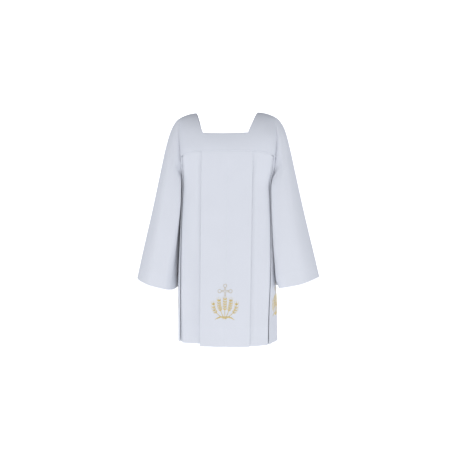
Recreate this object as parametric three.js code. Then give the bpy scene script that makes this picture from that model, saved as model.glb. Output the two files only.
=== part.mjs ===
// Surplice in its worn form: a wide white tunic with a square-necked yoke, box pleats and bell sleeves.
// Millimetres, +Z up, front towards -Y. The origin lies between the wearer's shoulders, level with the
// inside of the yoke at the neck points, where the shoulders carry the garment.
import * as THREE from "three";

// Driving dimensions of the whole garment
const GARMENT_LENGTH = 904;
const CLOTH = 1.2;
const SEAM_GAP = 0.3;

// Yoke: depth of its seam below the neck points, and how far that seam falls towards the armholes
const YOKE_DEPTH = 162;
const YOKE_SEAM_FALL = 24;
const YOKE_SEAM_LEVEL_HALF = 100;
const SHOULDER_SLOPE_FALL = 20;
const RIDGE_ROUNDING = 0.9;

// Square neck: half widths at the shoulder ridge and how fast the sides close in, by depth
const NECK_HALF_AT_RIDGE = 122;
const FRONT_NECK_CLOSING = 0.386;
const BACK_NECK_CLOSING = 0.2;
const FRONT_NECK_DEPTH = 92;
const BACK_NECK_DEPTH = 66;
const NECK_EDGE_SAG = 2.5;

// Armholes: shoulder point, half depth front to back, and the level of the underarm
const SHOULDER_POINT_HALF = 192;
const ARMHOLE_HALF_DEPTH = 58;
const UNDERARM_Z = -290;
const ARMHOLE_CORNER_Z = -186;

// Box pleats: half widths of the faces, depth of the folds behind them, spacing of the layers
const FACE_HALF_TOP = 98;
const FACE_HALF_HEM = 95.5;
const INNER_FOLD_FROM_CENTRE = 10;
const PITCH_TOP = 1.7;
const PITCH_HEM = 4.2;
const CREASE_DEPTH = 2.5;
const CREASE_HALF_WIDTH = 16;

// The front pleat hangs slanting, from the wearer's left at the yoke towards the right at the hem, where
// the panel beside it is drawn up and its side fold lies further round
const FRONT_TOP_SWAY = 7.5;
const FRONT_HEM_SWAY = -1.2;
const RIGHT_FOLD_SWAY = -18;
const RIGHT_PANEL_RAISE = 6;

// Side pleats: distance round the body from the middle to their fold, and how far panels run under it
const SIDE_FOLD_ARC = 186;
const SIDE_UNDERLAP_TOP = 6;
const SIDE_UNDERLAP_HEM = 46;
const SIDE_EASE = 80;

// Cross sections of the body cloth, from the yoke seam to the hem
const BODY_LEVELS = [
  { z: -150, halfWidth: 195, halfDepth: 110, square: 3.0 },
  { z: -230, halfWidth: 183, halfDepth: 115, square: 3.0 },
  { z: -290, halfWidth: 177, halfDepth: 118, square: 2.95 },
  { z: -400, halfWidth: 181, halfDepth: 124, square: 2.85 },
  { z: -550, halfWidth: 188, halfDepth: 132, square: 2.75 },
  { z: -700, halfWidth: 195, halfDepth: 139, square: 2.65 },
  { z: -GARMENT_LENGTH, halfWidth: 197, halfDepth: 145, square: 2.6 },
];

// Soft vertical folds of the hanging cloth. side is the wearer's left (+1) or right (-1), arc is the way
// round from the front middle at the hem, and depth is how far the cloth goes in (+) or out (-).
const BODY_FOLDS = [
  { side: 1, arc: 232, width: 46, depth: 15, fromZ: -560, fullZ: -820 },
  { side: 1, arc: 345, width: 52, depth: -7, fromZ: -620, fullZ: -860 },
  { side: -1, arc: 262, width: 40, depth: 7, fromZ: -600, fullZ: -860 },
  { side: -1, arc: 372, width: 46, depth: 8, fromZ: -560, fullZ: -860 },
  { side: 1, arc: 452, width: 34, depth: 5, fromZ: -480, fullZ: -800 },
  { side: -1, arc: 470, width: 36, depth: 6, fromZ: -440, fullZ: -780 },
  { side: 1, arc: 168, width: 24, depth: -3, fromZ: -200, fullZ: -430 },
  { side: -1, arc: 168, width: 24, depth: -3, fromZ: -200, fullZ: -430 },
];

// The wearer's left armhole seam is worn a little further out. The move grows and fades by these places.
const LEFT_ARMHOLE_EASE = {
  most: 11,
  fromX: 95,
  fullX: 172,
  heldX: 192,
  goneX: 250,
  topZ: -30,
  fullTopZ: -110,
  fullLowZ: -215,
  lowZ: -310,
};

// Below the arms the front and back corners of the body hang squarer, and the sleeves beside them
// follow. They move out by these amounts, between these distances from the middle of each side.
const SIDE_SQUARING = {
  left: 5.5, right: 5, fromX: 110, fullX: 168, heldX: 195, goneX: 265,
  fromY: 34, fullY: 70, topZ: -235, fullTopZ: -350, fullLowZ: -430, lowZ: -890,
};

// Sleeve sections from the armhole to the cuff: the outer and inner ends seen from the front, the half
// depth front to back, and where the widest line lies, as a share of the way from outer to inner end.
const SLEEVE_SECTIONS = [
  { outerX: 192, outerZ: -20, innerX: 177, innerZ: -290, halfDepth: 58, widestAt: 0.612 },
  { outerX: 204, outerZ: -29, innerX: 182, innerZ: -292, halfDepth: 63, widestAt: 0.6 },
  { outerX: 219, outerZ: -52, innerX: 184, innerZ: -300, halfDepth: 68, widestAt: 0.59 },
  { outerX: 231, outerZ: -82, innerX: 184, innerZ: -315, halfDepth: 74, widestAt: 0.57 },
  { outerX: 247, outerZ: -137, innerX: 184.5, innerZ: -348, halfDepth: 83, widestAt: 0.55 },
  { outerX: 268, outerZ: -232, innerX: 187, innerZ: -410, halfDepth: 93, widestAt: 0.53 },
  { outerX: 302, outerZ: -390, innerX: 193, innerZ: -520, halfDepth: 103, widestAt: 0.52 },
  { outerX: 338, outerZ: -545, innerX: 198.5, innerZ: -622, halfDepth: 109, widestAt: 0.5 },
  { outerX: 363, outerZ: -657, innerX: 201, innerZ: -692, halfDepth: 112, widestAt: 0.5 },
];
const SLEEVE_SQUARE = 2.7;
const SLEEVE_TOP_CREASE = 1.5;

// The back of each sleeve hangs in towards the body, by a share of its half depth. That begins and is
// full at these shares of the half depth, and at these shares of the length.
const SLEEVE_BACK_TUCK = { most: 0.21, from: 0.3, full: 0.78, startsAt: 0.12, fullAt: 0.5 };

// The front of the left sleeve lies against the body, moved in by most, from and until these shares.
const SLEEVE_FRONT_LEAN = { most: 3.4, startsAt: 0.07, fullAt: 0.22, fadesFrom: 0.72, goneAt: 0.96 };

// The inner front of each sleeve laps round the side of the body, moved in by these amounts. That begins
// and is full at these distances in front of the sleeve's middle, and at these shares of its length.
const SLEEVE_LAP = {
  left: { most: 29, startsAt: 0.1, fullAt: 0.36, fadesFrom: 0.9, goneAt: 1.1 },
  right: { most: 18, startsAt: 0.2, fullAt: 0.42, fadesFrom: 0.6, goneAt: 1.05 },
  from: 40, full: 92,
};
const CUFF_SAG = 12;
const LEFT_CUFF_RAISE = 9;

// Soft folds of the sleeves: where they lie round the sleeve at its top and its cuff, in degrees from
// the top crease towards the front, with the share of the length where each begins and is full.
const SLEEVE_FOLDS = [
  { side: -1, degreesTop: 72, degreesCuff: 104, width: 17, depth: 5, from: 0.05, full: 0.35 },
  { side: 1, degreesTop: 66, degreesCuff: 84, width: 18, depth: 4.5, from: 0.05, full: 0.3 },
  { side: -1, degreesTop: 290, degreesCuff: 262, width: 18, depth: 5, from: 0.2, full: 0.6 },
  { side: 1, degreesTop: 285, degreesCuff: 268, width: 20, depth: 6, from: 0.1, full: 0.5 },
];

// How finely the solids are divided
const SKIRT_ROWS = [0, 0.05, 0.11, 0.18, 0.28, 0.41, 0.56, 0.71, 0.86, 1];
const ARM_LINE_SHARES = [0, 0.2, 0.42, 0.7];
const FIRST_ARM_LINE_AT_HEM = 0.26;
const PANEL_ARCS = [118, 139, 160];
const YOKE_BAND_ROWS = 3;
const YOKE_STRAP_ROWS = 7;
const SLEEVE_LENGTH_STEPS = 14;
const SLEEVE_ROUND_STEPS = 26;
const RING_SAMPLES = 360;

const CLOTH_COLOUR = 0xe6e9f0;
const quarterTurn = Math.PI / 2;
const mix = (a, b, t) => a + (b - a) * t;
const clamp01 = (t) => Math.min(1, Math.max(0, t));
const smooth = (t) => clamp01(t) ** 2 * (3 - 2 * clamp01(t));
const bell = (distance, width) => Math.exp(-((distance / width) ** 2));
const signedPower = (value, power) => Math.sign(value) * Math.abs(value) ** power;

// A value from neighbouring table rows, through which it runs as a smooth curve (Catmull-Rom).
function curveThrough(rows, column, place) {
  const last = rows.length - 1;
  const row = Math.min(last - 1, Math.max(0, Math.floor(place)));
  const t = place - row;
  const at = (index) => rows[Math.min(last, Math.max(0, index))][column];
  const [before, start, end, after] = [at(row - 1), at(row), at(row + 1), at(row + 2)];
  const slopeStart = row === 0 ? end - start : (end - before) / 2;
  const slopeEnd = row === last - 1 ? end - start : (after - start) / 2;
  return (
    start * (2 * t ** 3 - 3 * t ** 2 + 1) +
    slopeStart * (t ** 3 - 2 * t ** 2 + t) +
    end * (3 * t ** 2 - 2 * t ** 3) +
    slopeEnd * (t ** 3 - t ** 2)
  );
}

// The row place in the table of body levels that has a given height.
function levelPlace(z) {
  const last = BODY_LEVELS.length - 1;
  let row = 0;
  while (row < last - 1 && z < BODY_LEVELS[row + 1].z) row += 1;
  const start = BODY_LEVELS[row].z;
  return clamp01((z - start) / (BODY_LEVELS[row + 1].z - start)) + row;
}

// Half of the body's cross section at a height, from the front middle round the wearer's left side to
// the back middle: points on a superellipse with the distance walked to each.
const ringStore = new Map();
function ringAt(z) {
  const key = z.toFixed(3);
  if (ringStore.has(key)) return ringStore.get(key);
  const place = levelPlace(z);
  const halfWidth = curveThrough(BODY_LEVELS, "halfWidth", place);
  const halfDepth = curveThrough(BODY_LEVELS, "halfDepth", place);
  const power = 2 / curveThrough(BODY_LEVELS, "square", place);
  const points = [];
  for (let i = 0; i <= RING_SAMPLES; i += 1) {
    const angle = Math.PI * (i / RING_SAMPLES - 0.5);
    const x = halfWidth * Math.max(0, Math.cos(angle)) ** power;
    const y = halfDepth * signedPower(Math.sin(angle), power);
    const before = points[i - 1];
    const arc = before ? before.arc + Math.hypot(x - before.x, y - before.y) : 0;
    points.push({ x, y, arc });
  }
  const ring = { points, halfGirth: points[RING_SAMPLES].arc };
  ringStore.set(key, ring);
  return ring;
}

// The point of a ring at a value of one of its columns (arc or y), with the outward direction.
function onRing(ring, column, value) {
  const points = ring.points;
  let low = 0;
  let high = RING_SAMPLES;
  while (high - low > 1) {
    const middle = (low + high) >> 1;
    if (points[middle][column] <= value) low = middle;
    else high = middle;
  }
  const [a, b] = [points[low], points[high]];
  const t = clamp01((value - a[column]) / (b[column] - a[column]));
  const span = 4;
  const before = points[Math.max(0, low - span)];
  const after = points[Math.min(RING_SAMPLES, high + span)];
  const along = new THREE.Vector2(after.x - before.x, after.y - before.y).normalize();
  if (low < span) along.set(1, 0).lerp(new THREE.Vector2(after.x, after.y - points[0].y).normalize(), 0.5);
  return {
    x: mix(a.x, b.x, t),
    y: mix(a.y, b.y, t),
    arc: mix(a.arc, b.arc, t),
    outX: along.y,
    outY: -along.x,
  };
}

// Depth of the soft folds at a place round the body, counted at the hem from the front middle.
function bodyFoldDepth(side, arc, z) {
  let depth = 0;
  for (const fold of BODY_FOLDS) {
    if (fold.side !== side) continue;
    const strength = smooth((z - fold.fromZ) / (fold.fullZ - fold.fromZ));
    depth += fold.depth * strength * bell(arc - fold.arc, fold.width);
  }
  return depth;
}

// A point of the garment, moved out with the left armhole seam.
function eased(point) {
  const ease = LEFT_ARMHOLE_EASE;
  const across =
    smooth((point.x - ease.fromX) / (ease.fullX - ease.fromX)) *
    (1 - smooth((point.x - ease.heldX) / (ease.goneX - ease.heldX)));
  const along =
    smooth((ease.topZ - point.z) / (ease.topZ - ease.fullTopZ)) *
    smooth((point.z - ease.lowZ) / (ease.fullLowZ - ease.lowZ));
  point.x += ease.most * across * along;
  return squared(point);
}

// Moves a point out with the corners of the body, in front and behind.
function squared(point) {
  const { left, right, fromX, fullX, heldX, goneX, fromY, fullY } = SIDE_SQUARING;
  const { topZ, fullTopZ, fullLowZ, lowZ } = SIDE_SQUARING;
  const x = Math.abs(point.x);
  const across = smooth((x - fromX) / (fullX - fromX)) * (1 - smooth((x - heldX) / (goneX - heldX)));
  const along = smooth((topZ - point.z) / (topZ - fullTopZ)) * smooth((point.z - lowZ) / (fullLowZ - lowZ));
  const beside = smooth((Math.abs(point.y) - fromY) / (fullY - fromY));
  point.x += (point.x > 0 ? left : -right) * across * along * beside;
  return point;
}

// Middle line of the cloth at a height, at a signed way round from the front or back middle, drawn in by
// an inset. facing is 1 for the front and -1 for the back.
function bodyPoint(z, arc, inset, facing) {
  const ring = ringAt(z);
  const side = arc < 0 ? -1 : 1;
  const point = onRing(ring, "arc", Math.abs(arc));
  const fromFront = facing > 0 ? Math.abs(arc) : ring.halfGirth - Math.abs(arc);
  const inward = inset + bodyFoldDepth(side, fromFront, z);
  return eased(
    new THREE.Vector3(
      side * (point.x - point.outX * inward),
      facing * (point.y - point.outY * inward),
      z,
    ),
  );
}

// How far a line of the front is moved round at the yoke seam: most across the pleat, not at the folds.
function topSway(arc, facing) {
  if (facing < 0) return 0;
  return FRONT_TOP_SWAY * (1 - smooth((Math.abs(arc) - FACE_HALF_TOP) / (SIDE_FOLD_ARC - FACE_HALF_TOP)));
}

// How far a line of the front is moved round at the hem, by its signed way round.
function hemSway(arc, facing) {
  if (facing < 0) return 0;
  const towardsLeft = smooth((arc + FACE_HALF_HEM) / (SIDE_FOLD_ARC + FACE_HALF_HEM));
  const towardsRight = smooth((-arc - FACE_HALF_HEM) / (SIDE_FOLD_ARC - FACE_HALF_HEM));
  const pastRightFold = smooth((-arc - SIDE_FOLD_ARC) / SIDE_EASE);
  return mix(FRONT_HEM_SWAY * (1 - towardsLeft), RIGHT_FOLD_SWAY, towardsRight) * (1 - pastRightFold);
}

// How far the hem is drawn up beside and behind the pleat on the wearer's right.
function hemRaise(arc, facing) {
  if (facing < 0) return 0;
  const besidePleat = smooth((-arc - FACE_HALF_HEM / 2) / (FACE_HALF_HEM / 2));
  return RIGHT_PANEL_RAISE * besidePleat * (1 - smooth((-arc - SIDE_FOLD_ARC) / SIDE_EASE));
}

// Height of the yoke seam at a way round from the middle. It is straight between the lines at which the
// yoke is divided, so that the cloth below keeps its distance also where its own lines lie elsewhere.
function yokeSeamZ(arc) {
  const curveZ = (way) => {
    const beyond = Math.max(0, way - YOKE_SEAM_LEVEL_HALF) / YOKE_SEAM_LEVEL_HALF;
    return -YOKE_DEPTH - YOKE_SEAM_FALL * beyond ** 2;
  };
  const lines = [0, FACE_HALF_TOP, ...PANEL_ARCS, SIDE_FOLD_ARC, SIDE_FOLD_ARC + SIDE_UNDERLAP_TOP];
  const way = Math.abs(arc);
  const next = Math.max(1, lines.findIndex((line) => line >= way - 1e-6));
  const [start, end] = [lines[next - 1], lines[next]];
  return mix(curveZ(start), curveZ(end), clamp01((way - start) / (end - start)));
}

// Lower half of the armhole on the body, from its front corner (0) to the underarm (1).
function armholeLow(share) {
  const y = -ARMHOLE_HALF_DEPTH * Math.cos(share * quarterTurn);
  const z = mix(ARMHOLE_CORNER_Z, UNDERARM_Z, Math.sin(share * quarterTurn));
  return { ...onRing(ringAt(z), "y", y), z };
}
const armholeCorner = armholeLow(0);

// The closed loop of the armhole at an angle from its top, through its front corner and underarm.
function armholeLoop(angle) {
  const up = Math.cos(angle);
  const forward = Math.sin(angle);
  if (up < 0) {
    const low = armholeLow(Math.asin(-up) / quarterTurn);
    return new THREE.Vector3(low.x, -Math.abs(low.y) * Math.sign(forward || 1), low.z);
  }
  return new THREE.Vector3(
    mix(armholeCorner.x, SHOULDER_POINT_HALF, up),
    -ARMHOLE_HALF_DEPTH * forward,
    mix(ARMHOLE_CORNER_Z, -SHOULDER_SLOPE_FALL, up),
  );
}

// A wall of cloth about a sheet of points: the sheet is moved half a thickness to both sides along its
// own normals, and its free edges are closed. cells holds quads of point numbers, seen from outside.
function clothWall(name, points, cells) {
  const normals = points.map(() => new THREE.Vector3());
  const edges = new Map();
  for (const cell of cells) {
    const [a, b, c, d] = cell.map((index) => points[index]);
    const across = new THREE.Vector3().subVectors(c, a);
    const normal = across.cross(new THREE.Vector3().subVectors(d, b));
    cell.forEach((index, corner) => {
      normals[index].add(normal);
      const next = cell[(corner + 1) % cell.length];
      const back = `${next},${index}`;
      if (edges.has(back)) edges.delete(back);
      else edges.set(`${index},${next}`, [index, next]);
    });
  }
  const count = points.length;
  const positions = new Float32Array(count * 6);
  points.forEach((point, index) => {
    const step = normals[index].normalize().multiplyScalar(CLOTH / 2);
    point.clone().add(step).toArray(positions, index * 3);
    point.clone().sub(step).toArray(positions, (index + count) * 3);
  });
  const faces = [];
  const addQuad = (a, b, c, d) => faces.push(a, b, c, a, c, d);
  for (const [a, b, c, d] of cells) {
    addQuad(a, b, c, d);
    addQuad(a + count, d + count, c + count, b + count);
  }
  for (const [a, b] of edges.values()) addQuad(b, a, a + count, b + count);
  const geometry = new THREE.BufferGeometry();
  geometry.setAttribute("position", new THREE.BufferAttribute(positions, 3));
  geometry.setIndex(faces);
  geometry.computeVertexNormals();
  const material = new THREE.MeshStandardMaterial({
    color: CLOTH_COLOUR,
    roughness: 0.85,
    metalness: 0,
  });
  const mesh = new THREE.Mesh(geometry, material);
  mesh.name = name;
  return mesh;
}

// A cloth wall on a grid of rows, each row a list of points; keeps(row, column) can leave cells out.
function gridWall(name, rows, { closed = false, turned = false, keeps = () => true } = {}) {
  const columns = rows[0].length;
  const numberOf = new Map();
  const points = [];
  const cells = [];
  const numbered = (row, column) => {
    const key = row * columns + (column % columns);
    if (!numberOf.has(key)) {
      numberOf.set(key, points.length);
      points.push(rows[row][column % columns]);
    }
    return numberOf.get(key);
  };
  for (let row = 0; row < rows.length - 1; row += 1) {
    for (let column = 0; column < (closed ? columns : columns - 1); column += 1) {
      if (!keeps(row, column)) continue;
      const cell = [
        numbered(row, column),
        numbered(row + 1, column),
        numbered(row + 1, column + 1),
        numbered(row, column + 1),
      ];
      cells.push(turned ? cell.reverse() : cell);
    }
  }
  return clothWall(name, points, cells);
}

// One line of the pleated cloth from top to hem: its way round and its inset at both ends, and whether
// its hem can be drawn up with the panels.
const clothLine = (topArc, hemArc, topInset, hemInset, drawnUp = true) => ({
  topArc,
  hemArc,
  topInset,
  hemInset,
  drawnUp,
});
const onLayer = (topArc, hemArc, layer, drawnUp = true) =>
  clothLine(topArc, hemArc, layer * PITCH_TOP, layer * PITCH_HEM, drawnUp);

// The lines of one half of a box pleat, from the middle of its face round both folds to the layer that
// goes on as the panel beside it. Layer 0 is the face, 1 the return behind it and 2 the innermost.
function halfBoxPleat() {
  const acrossTop = [INNER_FOLD_FROM_CENTRE, 40, 70];
  const turnTop = PITCH_TOP / 2;
  const turnHem = PITCH_HEM / 2;
  const foldTop = FACE_HALF_TOP;
  const foldHem = FACE_HALF_HEM;
  const hemOf = (arc) => (arc * FACE_HALF_HEM) / FACE_HALF_TOP;
  const innerHem = hemOf(INNER_FOLD_FROM_CENTRE);
  return [
    ...acrossTop.map((arc) => onLayer(arc, hemOf(arc), 0, false)),
    onLayer(foldTop - turnTop, foldHem - turnHem, 0, false),
    onLayer(foldTop, foldHem, 0.5, false),
    onLayer(foldTop - turnTop, foldHem - turnHem, 1, false),
    ...acrossTop.slice(1).reverse().map((arc) => onLayer(arc, hemOf(arc), 1, false)),
    onLayer(INNER_FOLD_FROM_CENTRE + turnTop, innerHem + turnHem, 1, false),
    onLayer(INNER_FOLD_FROM_CENTRE, innerHem, 1.5, false),
    onLayer(INNER_FOLD_FROM_CENTRE + turnTop, innerHem + turnHem, 2),
    ...acrossTop.slice(1).map((arc) => onLayer(arc, hemOf(arc), 2)),
    onLayer(foldTop, foldHem, 2),
  ];
}

// The lines of the plain panel from the box pleat to its end under the side pleat. At the yoke seam the
// panel lies level with the pleat's face, and at the hem it hangs behind it.
function sidePanelLines() {
  const behind = 2 * PITCH_HEM;
  return [
    ...PANEL_ARCS.map((arc) => clothLine(arc, arc, 0, behind)),
    onLayer(SIDE_FOLD_ARC, SIDE_FOLD_ARC, 2),
    onLayer(SIDE_FOLD_ARC + SIDE_UNDERLAP_TOP / 2, SIDE_FOLD_ARC + SIDE_UNDERLAP_HEM / 2, 2),
    onLayer(SIDE_FOLD_ARC + SIDE_UNDERLAP_TOP, SIDE_FOLD_ARC + SIDE_UNDERLAP_HEM, 2),
  ];
}

// A point of a line of pleated cloth, at a share of the way from its top to its hem.
function linePoint(line, share, topZ, facing) {
  const hemZ = -GARMENT_LENGTH + (line.drawnUp ? hemRaise(line.hemArc, facing) : 0);
  const topArc = line.topArc + topSway(line.topArc, facing);
  const arc = mix(topArc, line.hemArc + hemSway(line.hemArc, facing), share);
  const inset = mix(line.topInset, line.hemInset, share);
  const fromCrease = mix(line.topArc, line.hemArc, share);
  const pressed = CREASE_DEPTH * bell(fromCrease, CREASE_HALF_WIDTH) * smooth(share * 8);
  return bodyPoint(mix(topZ, hemZ, share), arc, inset + pressed, facing);
}

// The front or back of the skirt: a box pleat in the middle with a plain panel on each side.
function makeSkirt(name, facing) {
  const half = [...halfBoxPleat(), ...sidePanelLines()];
  const mirrored = (line) => ({ ...line, topArc: -line.topArc, hemArc: -line.hemArc });
  const lines = [...half.map(mirrored).reverse(), onLayer(0, 0, 0, false), ...half];
  const topZ = (line) => yokeSeamZ(line.topArc + topSway(line.topArc, facing)) - SEAM_GAP;
  const rows = SKIRT_ROWS.map((share) =>
    lines.map((line) => linePoint(line, share, topZ(line), facing)),
  );
  return gridWall(name, rows, { turned: facing < 0 });
}

// The pleated panel under one arm, from its seam under the front pleat fold round to the back one. Its
// top follows the yoke seam for a short way and then the lower half of the armhole.
function makeSidePanel(name, side) {
  const turnTop = PITCH_TOP / 2;
  const turnHem = PITCH_HEM / 2;
  const foldTop = SIDE_FOLD_ARC;
  const middleHem = ringAt(-GARMENT_LENGTH).halfGirth / 2;
  const seamHem = foldTop + SIDE_UNDERLAP_HEM;
  const seamInset = [2 * PITCH_TOP, 2 * PITCH_HEM].map((depth) => depth - CLOTH - SEAM_GAP);
  const foldLines = [
    clothLine(foldTop + SIDE_UNDERLAP_TOP, seamHem, ...seamInset),
    onLayer(foldTop + SIDE_UNDERLAP_TOP / 2, foldTop + SIDE_UNDERLAP_HEM / 2, 1),
    onLayer(foldTop + turnTop, foldTop + turnHem, 1),
    onLayer(foldTop, foldTop, 0.5),
    onLayer(foldTop + turnTop, foldTop + turnHem, 0),
    onLayer(foldTop + SIDE_UNDERLAP_TOP / 2, foldTop + SIDE_UNDERLAP_HEM / 2, 0),
    onLayer(foldTop + SIDE_UNDERLAP_TOP, seamHem, 0),
  ].map((line) => ({ ...line, topZ: yokeSeamZ(line.topArc) - SEAM_GAP }));
  const armLines = ARM_LINE_SHARES.map((share) => {
    const top = armholeLow(share);
    const hemArc = mix(seamHem, middleHem, mix(FIRST_ARM_LINE_AT_HEM, 1, share));
    return { ...onLayer(top.arc, hemArc, 0), topZ: top.z - SEAM_GAP };
  });
  const underarm = armholeLow(1);
  const middle = { ...onLayer(underarm.arc, middleHem, 0), topZ: underarm.z - SEAM_GAP };
  const quarter = [...foldLines, ...armLines];
  const at = (line, share, facing) => {
    const signed = { ...line, topArc: side * line.topArc, hemArc: side * line.hemArc };
    return linePoint(signed, share, line.topZ, facing);
  };
  const rows = SKIRT_ROWS.map((share) => [
    ...quarter.map((line) => at(line, share, 1)),
    at(middle, share, 1),
    ...quarter.map((line) => at(line, share, -1)).reverse(),
  ]);
  return gridWall(name, rows, { turned: side < 0 });
}

// The front or back of the yoke. Each column is a quarter arch from the seam to the shoulder ridge, and
// the columns over the neck stop at the neck edge.
function makeYoke(name, facing, neckDepth, neckClosing) {
  const strapFoot = NECK_HALF_AT_RIDGE - neckClosing * YOKE_DEPTH;
  const bandArcs = [-2, -1, 0, 1, 2].map((third) => (third * strapFoot) / 3);
  const strapArcs = [
    strapFoot,
    ...[78, FACE_HALF_TOP].filter((arc) => arc > strapFoot + 5),
    ...PANEL_ARCS,
    SIDE_FOLD_ARC,
    SIDE_FOLD_ARC + SIDE_UNDERLAP_TOP,
    armholeCorner.arc,
  ];
  const arcs = [...strapArcs.map((arc) => -arc).reverse(), ...bandArcs, ...strapArcs];
  const bandShare = (2 / Math.PI) * Math.asin(1 - neckDepth / YOKE_DEPTH);
  const ridgeShare = 1 - SEAM_GAP / ARMHOLE_HALF_DEPTH / quarterTurn;
  const shares = [];
  for (let i = 0; i <= YOKE_BAND_ROWS; i += 1) shares.push((bandShare * i) / YOKE_BAND_ROWS);
  for (let i = 1; i <= YOKE_STRAP_ROWS; i += 1) {
    shares.push(mix(bandShare, ridgeShare, i / YOKE_STRAP_ROWS));
  }
  const columnPoint = (arc, share) => {
    const side = Math.sign(arc);
    const span = Math.abs(arc);
    const isCorner = span === armholeCorner.arc;
    const seamZ = isCorner ? ARMHOLE_CORNER_Z : yokeSeamZ(arc);
    const foot = onRing(ringAt(seamZ), "arc", span);
    const along = clamp01((foot.x - strapFoot) / (armholeCorner.x - strapFoot));
    const ridgeX = mix(NECK_HALF_AT_RIDGE, SHOULDER_POINT_HALF, along);
    const ridgeZ = -SHOULDER_SLOPE_FALL * mix(along, along ** 2, RIDGE_ROUNDING);
    const up = Math.sin(share * quarterTurn);
    const over = Math.cos(share * quarterTurn);
    const onStrap = span >= strapFoot;
    const narrow = foot.x / strapFoot;
    const x = onStrap ? mix(foot.x, ridgeX, up) : narrow * mix(strapFoot, NECK_HALF_AT_RIDGE, up);
    const sag = onStrap ? 0 : NECK_EDGE_SAG * (1 - narrow ** 2) * (share / bandShare);
    const z = mix(seamZ, onStrap ? ridgeZ : 0, up) - sag;
    return eased(new THREE.Vector3(side * x, facing * foot.y * over, z));
  };
  const rows = shares.map((share) => arcs.map((arc) => columnPoint(arc, share)));
  const strapColumns = strapArcs.length;
  const keeps = (row, column) =>
    row < YOKE_BAND_ROWS || column < strapColumns - 1 || column >= arcs.length - strapColumns;
  return gridWall(name, rows, { turned: facing > 0, keeps });
}

// A point of the sleeve, at a share of the way from armhole to cuff and an angle from its top crease
// through the front. The outer half is drawn to a crease, and the inner half is a superellipse.
function sleevePoint(side, share, angle) {
  const place = share * (SLEEVE_SECTIONS.length - 1);
  const value = (column) => curveThrough(SLEEVE_SECTIONS, column, place);
  const outer = new THREE.Vector2(value("outerX"), value("outerZ"));
  const inner = new THREE.Vector2(value("innerX"), value("innerZ"));
  const widest = outer.clone().lerp(inner, value("widestAt"));
  const up = Math.cos(angle);
  const forward = Math.sin(angle);
  const worn = smooth(share * 5);
  const power = mix(1, 2 / SLEEVE_SQUARE, worn);
  const creasePower = mix(1, SLEEVE_TOP_CREASE, worn);
  const reach = up > 0 ? up : Math.abs(up) ** power;
  const deep = up > 0 ? Math.abs(forward) ** creasePower : Math.abs(forward) ** power;
  const end = up > 0 ? outer : inner;
  const inPlane = widest.clone().lerp(end, reach);
  const raise = side > 0 ? LEFT_CUFF_RAISE * share ** 4 : 0;
  const halfDepth = value("halfDepth");
  const behind = forward < 0 ? deep : 0;
  const { most, from, full, startsAt, fullAt } = SLEEVE_BACK_TUCK;
  const grown = smooth((share - startsAt) / (fullAt - startsAt));
  const tuck = most * halfDepth * grown * smooth((behind - from) / (full - from));
  const cuffDrop = CUFF_SAG * share ** 4 * deep * clamp01(0.5 - up / 2) - raise;
  const lean = side > 0 ? frontLean(share) * smooth(-2 * up) * (1 - smooth(-2 * forward)) : 0;
  const lap = sleeveLap(side, share) * smooth((halfDepth * (forward > 0 ? deep : 0) - SLEEVE_LAP.from)
    / (SLEEVE_LAP.full - SLEEVE_LAP.from)) * smooth(-2 * up);
  const fold = sleeveFoldDepth(side, share, (angle * 180) / Math.PI);
  const point = new THREE.Vector3(
    inPlane.x - tuck * (1 - Math.max(0, up)) ** 2 - lean - lap,
    -Math.sign(forward) * (halfDepth * deep - fold),
    inPlane.y - cuffDrop,
  );
  const joined = smooth(share * 12);
  if (joined < 1) {
    const start = armholeLoop(angle);
    start.x += 2 * SEAM_GAP + (CLOTH / 2 + SEAM_GAP) * (1 - Math.max(0, up) ** 2);
    point.lerpVectors(start, point, joined);
  }
  point.x *= side;
  return eased(point);
}

// How far the front of the left sleeve leans in, at a share of its length.
function frontLean(share) {
  const { most, startsAt, fullAt, fadesFrom, goneAt } = SLEEVE_FRONT_LEAN;
  const grown = smooth((share - startsAt) / (fullAt - startsAt));
  return most * grown * (1 - smooth((share - fadesFrom) / (goneAt - fadesFrom)));
}

// How far the inner front of a sleeve laps in, at a share of its length.
function sleeveLap(side, share) {
  const { most, startsAt, fullAt, fadesFrom, goneAt } = side > 0 ? SLEEVE_LAP.left : SLEEVE_LAP.right;
  const grown = smooth((share - startsAt) / (fullAt - startsAt));
  return most * grown * (1 - smooth((share - fadesFrom) / (goneAt - fadesFrom)));
}

// Depth of the soft folds of a sleeve at a place along and round it.
function sleeveFoldDepth(side, share, degrees) {
  let depth = 0;
  for (const fold of SLEEVE_FOLDS) {
    if (fold.side !== side) continue;
    const middle = mix(fold.degreesTop, fold.degreesCuff, share);
    const strength = smooth((share - fold.from) / (fold.full - fold.from));
    depth += fold.depth * strength * bell(degrees - middle, fold.width);
  }
  return depth;
}

// One bell sleeve, a tube of cloth open at the armhole and at the cuff.
function makeSleeve(name, side) {
  const rows = [];
  for (let i = 0; i <= SLEEVE_LENGTH_STEPS; i += 1) {
    const share = (i / SLEEVE_LENGTH_STEPS) ** 1.25;
    const row = [];
    for (let j = 0; j < SLEEVE_ROUND_STEPS; j += 1) {
      row.push(sleevePoint(side, share, (j / SLEEVE_ROUND_STEPS) * 2 * Math.PI));
    }
    rows.push(row);
  }
  return gridWall(name, rows, { closed: true, turned: side > 0 });
}

const surplice = new THREE.Group();
surplice.add(
  makeYoke("front_yoke", 1, FRONT_NECK_DEPTH, FRONT_NECK_CLOSING),
  makeYoke("back_yoke", -1, BACK_NECK_DEPTH, BACK_NECK_CLOSING),
  makeSkirt("front_skirt", 1),
  makeSkirt("back_skirt", -1),
  makeSidePanel("side_panel_left", 1),
  makeSidePanel("side_panel_right", -1),
  makeSleeve("sleeve_left", 1),
  makeSleeve("sleeve_right", -1),
);

export default surplice;
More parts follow.
